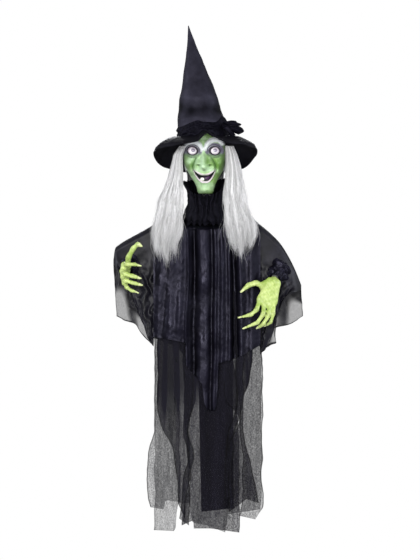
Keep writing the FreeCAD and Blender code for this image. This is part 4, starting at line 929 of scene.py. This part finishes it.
def robe():
    mat = satin("robe_satin", (0.0050, 0.0046, 0.0090), 0.36, gloss=0.17)
    x, z, zt, zh = robe_sheet(260, 420, FRONT_HEM)
    drop = zt - z
    wob = ripple(51, 60, 3, 2)
    slow = ripple(52, 120, 2, 2)
    xs = x + 2.2 * slow(x * 0.25, z * 0.35) + 0.02 * (z + 120) * np.sign(x) * step(np.abs(x), 20, 60)
    folds = np.zeros_like(x)
    for centre, width, height in ROBE_FOLDS:
        folds += height * bump(xs, centre, width)
    folds *= step(drop, 4, 70) * (0.8 + 0.25 * slow(x, z))
    folds += 1.6 * slow(x * 1.5, z) * step(drop, 20, 80) + 0.5 * wob(x * 2.2, z * 1.3)
    hang = -96.5 + 7.0 * step(np.abs(x), 84, 106)
    z, out = yoke(z, zt)
    y = TORSO_Y + (hang - TORSO_Y) * out - folds * out
    panel = (x < -41) & (z > -256)
    y = np.where(panel, y - 2.4 * step(drop, 10, 40), y)
    y = y + 3.0 * step(z, -290, -380)
    # painted light on the folds that stand out and painted shade in the hollows between them, with an uneven tone
    shade = 0.56 + 0.085 * folds + 0.1 * slow(x * 2, z * 2)
    shade = np.where(panel, shade * 1.12, shade)
    shade -= step(z - zh, 5, 2) * 0.35
    ob = grid("robe_front_cloth", seen(x, y, z), mat, grey(shade, 0.12))
    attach(ob, "torso")
    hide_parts("robe")

    x, z, zt, _ = robe_sheet(180, 260, BACK_HEM)
    drop = zt - z
    f = 4.0 * np.sin(x / 9.5 + 1.2 * wob(x, z * 0.4)) + 2.0 * np.sin(x / 4.3 + wob(x, z * 0.3))
    z, out = yoke(z, zt)
    y = TORSO_Y + 56.5 * out + f * step(drop, 18, 70)
    y = np.where((np.abs(x) < 60) & (out > 0.97), np.maximum(y, 5.4), y)
    # painted light and shade following the back's folds
    ob = grid("robe_back_cloth", np.stack([x, y, z], -1), mat, grey(0.6 + 0.08 * f))
    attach(ob, "torso")


# Each sleeve: its upper edge from the shoulder outward, and its back and front hems, as (share, x, z).
SLEEVES = {
    "right": dict(
        crest=[(0, -104, -18), (0.22, -128, -32), (0.42, -150, -44), (0.62, -170, -56), (0.8, -181, -66),
               (1, -184.5, -88)],
        back=[(0, -104, -246), (0.2, -112, -240), (0.4, -126, -226), (0.6, -143, -204), (0.8, -162, -198),
              (1, -178, -190)],
        front=[(0, -104, -242), (0.25, -113, -236), (0.5, -126, -206), (0.7, -140, -172), (0.85, -152, -142),
               (1, -160, -118)],
    ),
    "left": dict(
        crest=[(0, 104, -18), (0.2, 122, -33), (0.4, 143, -54), (0.6, 160, -80), (0.8, 174, -108), (1, 186, -138)],
        back=[(0, 104, -258), (0.2, 128, -243), (0.35, 136, -240), (0.45, 131, -214), (0.7, 160, -206),
              (1, 190, -190)],
        front=[(0, 104, -262), (0.3, 112, -256), (0.5, 128, -226), (0.7, 136, -196), (0.85, 142, -170),
               (1, 150, -150)],
    ),
}


def sleeve(side):
    data = SLEEVES[side]
    sign = 1 if side == "left" else -1
    mat = bpy.data.materials.get("sleeve_organza") or sheer("sleeve_organza", (0.006, 0.0055, 0.011), 0.50, 0.74)
    t, s = column(150), row(220)

    def line(key):
        rows = data[key]
        return curve(t, [(r[0], r[1] * sign) for r in rows]) * sign, curve(t, [(r[0], r[2]) for r in rows])

    cx, cz = line("crest")
    bx, bz = line("back")
    fx, fz = line("front")
    bend = 0.14                                     # the share of the width that goes over the arm
    f = np.clip((0.5 - bend - s) / (0.5 - bend), 0, 1)
    b = np.clip((s - 0.5 - bend) / (0.5 - bend), 0, 1)
    arc = np.clip((s - 0.5) / bend, -1, 1) * math.pi / 2
    depth = 24 - 7 * t
    yc = -48 + 4 * t
    x = cx + (fx - cx) * f**1.15 + (bx - cx) * b**1.15
    z = cz + (fz - cz) * f + (bz - cz) * b - depth * (1 - np.cos(arc)) * 0.55
    y = yc + depth * np.sin(arc) - 16 * f * (1 - f) * 3 * (0.4 + t) - 14 * f + 12 * b * (1 - t * 0.6) + 8 * b
    wob = ripple(61 if sign > 0 else 62, 70, 3, 2)
    down = np.maximum(f, b)
    fold = np.sin(t * 17 + 2.0 * wob(x, z) + sign) * 4.0 + np.sin(t * 38 + 3 * wob(z, x)) * 1.2
    y = y + fold * step(down, 0.05, 0.6) * (1 - 0.35 * t)
    x = x + 0.25 * fold * down
    hem = np.maximum(step(f, 0.965, 0.985), step(b, 0.965, 0.985))
    hem = np.maximum(hem, step(t, 0.975, 0.99))
    seam = step(1 - t, 0.93, 1.0)
    inner = step(t, 0.58, 0.35) * step(f, 0.0, 0.05)
    corner = step(t, 0.62, 0.86) * step(b, 0.45, 0.75)
    waist = bump(t, 0.36, 0.13) * step(b, 0.78, 0.9)
    thin = np.clip(np.maximum(corner, waist), 0, 1)
    solid = np.clip(np.maximum(np.maximum(hem, seam * 0.9), 0.985 * (1 - thin)), 0, 1)
    # the folds get painted light and shade, and the hems are darker
    paint = grey(0.75 + 0.06 * fold - 0.35 * hem, alpha=0.5 + 0.5 * np.maximum(solid, 0.3 * inner))
    ob = grid(side + "_sleeve_cloth", seen(x, y, z), mat, paint)
    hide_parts(side + "_sleeve")
    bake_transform(ob)


def cuff(side):
    """Crumpled end of the inner sleeve, gathered round the wrist."""
    e, w = (np.array(ARMS[side][joint], float) for joint in ("elbow", "wrist"))
    d = unit(w - e)
    side_v = unit(np.cross(d, [0, 0, 1]))
    up = np.cross(side_v, d)
    s, t = column(90), circle(160)
    wob = ripple(71 if side == "left" else 72, 22, 3, 3)
    length = 50.0
    r = lerp(s, [(0, 20), (0.3, 19.5), (0.6, 16), (0.88, 12.5), (1.0, 13)])
    cx, cy = np.cos(t) * r, np.sin(t) * r
    crumple = 2.6 * wob(cx * 1.2, cy * 1.2, s * length * 1.5)
    rings = 1.5 * np.sin(s * 26 + 1.6 * np.sin(t + 1) + 1.2 * np.sin(2 * t))
    rr = r + (crumple + rings) * step(s, 1.02, 0.86)
    base = w - d * (length - 1)
    p = base + s[..., None] * length * d + (rr * np.cos(t))[..., None] * side_v + (rr * np.sin(t))[..., None] * up
    mat = bpy.data.materials.get("cuff_cloth") or satin("cuff_cloth", (0.005, 0.0046, 0.010), 0.42, 900, gloss=0.2)
    # painted shade in the crumples and rings and painted light on their ridges
    ob = grid(side + "_cuff_cloth", p, mat, grey(0.6 + 0.16 * (rings + crumple * 0.6)), wrap=True)
    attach(ob, side + "_forearm")
    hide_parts(side + "_cuff")


# ---------------------------------------------------------------- hands
# Each arm: its elbow and wrist, and the joints of each finger from the knuckle to the tip.
ARMS = {
    "right": {
        "elbow": (-142, -36, -84), "wrist": (-157, -98, -110),
        "fingers": {
            "thumb": [(-154, -112, -100), (-152, -124, -84), (-142, -134, -67), (-133, -138, -59), (-126, -139, -63)],
            "index": [(-159, -138, -99), (-153, -158, -98), (-139, -164, -98), (-126, -160, -101)],
            "middle": [(-162, -140, -111), (-157, -162, -116), (-141, -167, -121), (-126, -163, -125)],
            "ring": [(-161, -139, -122), (-156, -160, -129), (-140, -165, -134), (-124, -161, -138)],
            "little": [(-158, -136, -133), (-154, -154, -142), (-145, -160, -148), (-131, -156, -153)]}},
    "left": {
        "elbow": (152, -42, -92), "wrist": (131, -108, -128),
        "fingers": {
            "thumb": [(108, -114, -139), (95, -117, -134), (81, -121, -138), (66, -124, -151)],
            "index": [(103, -126, -165), (96, -136, -185), (85, -134, -195), (61, -124, -201)],
            "middle": [(111, -128, -174), (108, -139, -195), (98, -136, -210), (70, -126, -222)],
            "ring": [(121, -127, -174), (119, -138, -196), (109, -136, -213), (96, -124, -222)],
            "little": [(130, -124, -172), (128, -134, -193), (123, -132, -210), (110, -120, -218)]}},
}
SKIN_VOXEL = 1.0
FINGER_R = {"thumb": 6.2, "index": 5.0, "middle": 5.2, "ring": 5.0, "little": 4.4}


def capsule(a, b, ra, rb, n=14):
    """Closed tapered tube with round ends."""
    d = unit(b - a)
    s = unit(np.cross(d, [0.3, 0.9, 0.2]))
    t = np.linspace(0, 2 * math.pi, n, endpoint=False)[:, None]
    ring = np.cos(t) * s + np.sin(t) * np.cross(d, s)
    rings, eighth = 8, math.pi / 8
    pts = [a - d * ra]
    for k in (1, 2, 3, 4):
        pts += list(a - d * ra * math.cos(k * eighth) + ring * ra * math.sin(k * eighth))
    for k in (0, 1, 2, 3):
        pts += list(b + d * rb * math.sin(k * eighth) + ring * rb * math.cos(k * eighth))
    pts.append(b + d * rb)
    last = 1 + rings * n
    faces = [[0, 1 + (j + 1) % n, 1 + j] for j in range(n)] + (grid_faces(rings, n, True) + 1).tolist()
    faces += [[last - n + j, last - n + (j + 1) % n, last] for j in range(n)]
    return pts, faces


def merge(ob):
    """Turns a heap of tubes into one soft skin, and returns its mesh."""
    m = ob.modifiers.new("one_skin", "REMESH")
    m.mode, m.voxel_size = "VOXEL", SKIN_VOXEL * K
    m = ob.modifiers.new("soft", "SMOOTH")
    m.factor, m.iterations = 0.6, 5
    me = bpy.data.meshes.new_from_object(ob.evaluated_get(bpy.context.evaluated_depsgraph_get()))
    old = ob.data
    ob.modifiers.clear()
    ob.data = me
    bpy.data.meshes.remove(old)
    me.shade_smooth()
    return me


def hand(side):
    data = ARMS[side]
    wrist, elbow = np.array(data["wrist"], float), np.array(data["elbow"], float)
    reach = unit(wrist - elbow)
    f = {k: [np.array(p, float) for p in v] for k, v in data["fingers"].items()}
    knuckles = [f[k][0] for k in ("index", "middle", "ring", "little")]
    heel = wrist + reach * 9
    across = unit(knuckles[3] - knuckles[0])
    roots = [heel + across * (i - 1.5) * 4.6 for i in range(4)]
    pts, faces = [], []

    def add(*args):
        p, q = capsule(*args)
        faces.extend([[i + len(pts) for i in face] for face in q])
        pts.extend(p)

    add(wrist + reach * 2, wrist + reach * 12, 8.6, 9.2)
    for i, (root, k) in enumerate(zip(roots, knuckles)):
        add(root, k, 8.0, 6.4)
        if i < 3:
            add((root + k) / 2 + across * 2, (k + knuckles[i + 1]) / 2, 6.5, 6.0)
    add(heel - across * 5, f["thumb"][0], 7.5, 7.6)
    add(f["thumb"][0], (knuckles[0] + heel) / 2, 7.0, 6.5)
    if side == "left":
        add(f["thumb"][0], knuckles[0] * 0.7 + heel * 0.3, 5.5, 5.5)
    for name, joints in f.items():
        r = FINGER_R[name]
        for i in range(len(joints) - 1):
            ra = r * (1 - 0.40 * (i / (len(joints) - 1)))
            rb = r * (1 - 0.40 * ((i + 1) / (len(joints) - 1)))
            middle = (joints[i] + joints[i + 1]) / 2
            add(joints[i], middle, ra * 1.1, ra * 0.84)
            add(middle, joints[i + 1], ra * 0.84, rb * (1.08 if i < len(joints) - 2 else 0.55))
    ob = mesh(side + "_hand_skin", pts, faces, None)
    me = merge(ob)
    co, no = vectors(me, "co") / K, vectors(me, "normal")
    wob = ripple(81, 26, 3, 3)
    detail = ripple(82, 6.5, 2, 3)
    push = 0.32 * wob(*co.T) + 0.16 * detail(*co.T)
    base, pale, dark = srgb(152, 178, 84), srgb(198, 214, 134), srgb(70, 92, 22)
    light = np.clip(0.5 + 0.35 * wob(*(co * 0.6).T) + 0.2 * detail(*co.T), 0, 1)
    c = base + (pale - base) * light[:, None]
    crease = np.zeros(len(co))
    for name, joints in f.items():
        for i, j in enumerate(joints[:-1]):
            dist = np.linalg.norm(co - j, axis=1)
            off = (co - j) @ unit(joints[i + 1] - joints[max(i - 1, 0)])
            ringm = bump(dist, 0, 8.0, 4)
            for shift in (-1.8, 0.0, 1.8):
                line = bump(off, shift, 0.45) * ringm
                push -= 0.35 * line * (1 if i else 0.3)
                crease = np.maximum(crease, line * (0.6 if i else 0.2))
            push += 0.5 * bump(dist, 0, 5.2, 4)
            # painted highlight: paler over each joint's bulge
            c += (pale * 1.02 - c) * (0.35 * bump(dist, 0, 6.0, 4))[:, None]
        tip, before = joints[-1], joints[-2]
        d = unit(tip - before)
        along = (co - tip) @ d
        near = np.linalg.norm(co - tip - np.outer(along, d), axis=1) < 6
        nail = step(along, -8.5, -7.0) * near
        c += (srgb(212, 220, 160) - c) * (0.8 * nail)[:, None]
        line = bump(along, -8.0, 0.6) * near
        push -= 0.4 * line
        crease = np.maximum(crease, 0.5 * line)
    for root, k in zip(roots, knuckles):            # tendons
        seg = k - root
        t = np.clip(((co - root) @ seg) / (seg @ seg), 0, 1)
        dist = np.linalg.norm(co - root - t[:, None] * seg, axis=1)
        push += 0.21 * bump(dist, 6.4, 1.6)
    # painted shade in the creases at the joints and at the nails' bases
    c += (dark - c) * (0.75 * crease)[:, None]
    # painted shade on the side that faces down and away from the front
    c += (dark - c) * (0.45 * np.clip(step(no @ np.array([0.25, 0.35, -0.9]), 0.2, 1.0), 0, 1))[:, None]
    me.vertices.foreach_set("co", ((co + no * push[:, None]) * K).ravel())
    set_paint(me, c)
    me.materials.clear()
    me.materials.append(bpy.data.materials.get("hand_paint") or painted("hand_paint", 0.42, 0.1))
    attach(ob, side + "_hand")
    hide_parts(side + "_hand")


# ---------------------------------------------------------------- skirt
def gauze(name, mat, left, right, hem, y0, seed, sway=3.0, replaces=None, solid=0.0):
    """A gauze panel between two side edges, each (z, x) from the waist down, with a hem of (share across, z)."""
    u, v = row(90), column(190)
    top = left[0][0]
    z = top + (lerp(u, hem) - top) * v
    wob = ripple(seed, 80, 3, 2)
    x0 = curve(-z, [(-p[0], p[1]) for p in left]) + 1.2 * wob(z * 0 + seed, z)
    x1 = curve(-z, [(-p[0], p[1]) for p in right]) + 1.2 * wob(z * 0 - seed, z)
    x = x0 + (x1 - x0) * u
    y = y0 + sway * np.sin(x / 7.5 + seed + 1.2 * wob(x * 0.4, z * 0.2)) * (0.25 + 0.75 * v) + 1.3 * wob(x, z * 0.6)
    width = np.abs(x1 - x0)
    thread = np.maximum(step(u * width, 2.8, 1.6), step((1 - u) * width, 2.8, 1.6))
    thread = np.maximum(thread, step(z - lerp(u, hem), 2.4, 1.4))
    streak = np.clip(wob(x * 3.2, z * 0.12) * 0.9, -1, 1)
    fill = solid * step(z, -520, -330)
    fill = fill + 0.25 * np.clip(streak, 0, 1) * (fill > 0.01)
    paint = grey(0.72 + 0.2 * streak - 0.5 * thread, alpha=0.5 + 0.5 * np.clip(np.maximum(thread * 0.9, fill), 0, 1))
    ob = grid(name, seen(x, y, z), mat, paint)
    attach(ob, "torso")
    if replaces:
        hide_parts(replaces)


def skirt():
    light = gauze_mat("gauze_light", (0.010, 0.010, 0.014), 0.38, 0.78, 1)
    dark = gauze_mat("gauze_dark", (0.0055, 0.005, 0.010), 0.62, 0.96, 2)
    gauze("gauze_front_right_cloth", light, [(-150, -104), (-424, -104), (-454, -112), (-503, -119), (-542, -117),
                                             (-576, -111)],
          [(-150, -56), (-420, -54), (-566, -51)], [(0, -576), (0.42, -580), (0.55, -562), (1, -566)], -85, 1,
          replaces="gauze_front_right", solid=0.15)
    gauze("gauze_over_right", dark, [(-150, -98), (-380, -98), (-424, -87), (-463, -68), (-513, -61), (-568, -57)],
          [(-150, -12), (-365, -22), (-420, -37), (-500, -33), (-568, -43)], [(0, -568), (1, -600)], -88, 4,
          solid=0.95)
    gauze("gauze_strip_right", dark, [(-150, -50), (-365, -45), (-430, -46), (-470, -38), (-520, -46), (-604, -54)],
          [(-150, -30), (-365, -28), (-430, -36), (-470, -26), (-520, -33), (-610, -35)], [(0, -598), (1, -612)],
          -91, 8,
          solid=0.5)
    gauze("gauze_strip_left", dark, [(-150, 52), (-365, 58), (-440, 40), (-500, 36), (-560, 34)],
          [(-150, 74), (-365, 72), (-440, 52), (-500, 50), (-560, 52)], [(0, -560), (1, -556)], -91, 9, solid=0.7)
    gauze("gauze_front_centre_cloth", dark, [(-150, -51), (-463, -41), (-523, -33), (-562, -43), (-607, -50)],
          [(-150, 40), (-420, 62), (-620, 65)], [(0, -612), (0.2, -602), (0.21, -618), (0.5, -618), (1, -626)], -86,
          2,
          replaces="gauze_front_centre", solid=0.75)
    gauze("gauze_front_left_cloth", light, [(-150, 57), (-404, 65), (-522, 71), (-595, 65)],
          [(-150, 108), (-365, 110), (-503, 109), (-562, 111), (-600, 105)], [(0, -593), (0.8, -600), (1, -578)],
          -85, 3,
          replaces="gauze_front_left", solid=0.0)
    gauze("gauze_over_left", dark, [(-150, 30), (-360, 36), (-404, 64), (-457, 43), (-480, 42), (-584, 43)],
          [(-150, 98), (-330, 84), (-365, 71), (-424, 72), (-493, 87), (-568, 103)],
          [(0, -586), (0.6, -560), (1, -568)],
          -88, 5, solid=0.85)
    gauze("gauze_back_cloth", light, [(-150, -104), (-480, -103), (-621, -104)],
          [(-150, 108), (-500, 108), (-576, 105)],
          [(0, -621), (0.2, -623), (0.22, -568), (0.33, -568), (0.36, -606), (0.5, -612), (0.68, -626), (0.69, -590),
           (1, -580)],
          4, 7, sway=5.0, replaces="gauze_back", solid=0.0)
    mat = satin("lining_cloth", (0.0055, 0.0055, 0.0075), 0.6, gloss=0.12)
    u, v = row(90), column(140)
    x = -20 + 70 * u + 6 * v * (1 - u) + 3 * v
    z = -170 - 415 * v + 7 * u * v
    y = -76 + 4.5 * np.sin(x / 8.0 + 0.6 * np.sin(z / 60)) * (0.4 + v * 0.6)
    # painted light and shade following the lining's folds
    ob = grid("lining_sheet", seen(x, y, z), mat, grey(0.7 + 0.2 * np.sin(x / 8.0) + 0 * z))
    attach(ob, "torso")
    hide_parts("skirt_lining")


# ---------------------------------------------------------------- the frame's own pieces
def cad_materials():
    looks = {
        "black_abs": plastic("shell_plastic", (0.045, 0.045, 0.05), 0.5),
        "face_pvc": plastic("skin_plain", (0.22, 0.38, 0.12), 0.5),
        "hand_pvc": plastic("hand_plain", (0.35, 0.42, 0.08), 0.5),
        "eye_plastic": plastic("eye_plain", (0.8, 0.75, 0.8), 0.25),
        "tooth_paint": plastic("tooth_plain", (0.85, 0.8, 0.7), 0.3),
        "mouth_dark": plastic("mouth_plain", (0.03, 0.008, 0.03), 0.6),
        "lamp_clear": plastic("lamp_plastic", (0.55, 0.04, 0.03), 0.15),
        "zinc_steel": metal("zinc_plate", (0.66, 0.66, 0.68), 0.34),
        "white_pom": plastic("gear_plastic", (0.78, 0.78, 0.74), 0.38),
        "grey_abs": plastic("grey_plastic", (0.16, 0.16, 0.17), 0.48),
        "red_button": plastic("button_plastic", (0.5, 0.03, 0.03), 0.3),
        "motor_steel": metal("motor_can", (0.55, 0.55, 0.57), 0.3),
        "cell_jacket": plastic("cell_sleeve", (0.05, 0.14, 0.07), 0.3),
        "spring_steel": metal("spring_wire", (0.75, 0.75, 0.76), 0.25),
        "board_green": plastic("board_mask", (0.02, 0.16, 0.06), 0.4),
        "speaker_paper": plastic("cone_paper", (0.06, 0.06, 0.06), 0.8),
        "elastic": plastic("elastic_webbing", (0.02, 0.02, 0.022), 0.9),
    }
    spare = looks["black_abs"]
    slots = {s["node"]: s["material_slot"] for s in frame["record"]["subparts"]}
    for node, ob in frame["nodes"].items():
        mat = looks.get(slots.get(node), spare)
        if not ob.data.materials:
            ob.data.materials.append(mat)
        for i in range(len(ob.data.materials)):
            ob.data.materials[i] = mat


camera_and_light()
cad_materials()
face()
eyes()
tooth()
hat_mat = satin("hat_satin_cloth", (0.022, 0.021, 0.031), 0.5, gloss=0.12, crease=0.0007)
crown(hat_mat)
brim(hat_mat)
band_mat = satin("band_cloth", (0.0035, 0.0032, 0.0065), 0.6, 900, gloss=0.1)
hat_band(band_mat)
hat_bow(band_mat)
hair_mat = hair_material()
bunch("left_hair", 7, hair_mat)
bunch("right_hair", 8, hair_mat)
back_hair(hair_mat)
collar()
robe()
for side in ("left", "right"):
    sleeve(side)
    cuff(side)
    hand(side)
skirt()
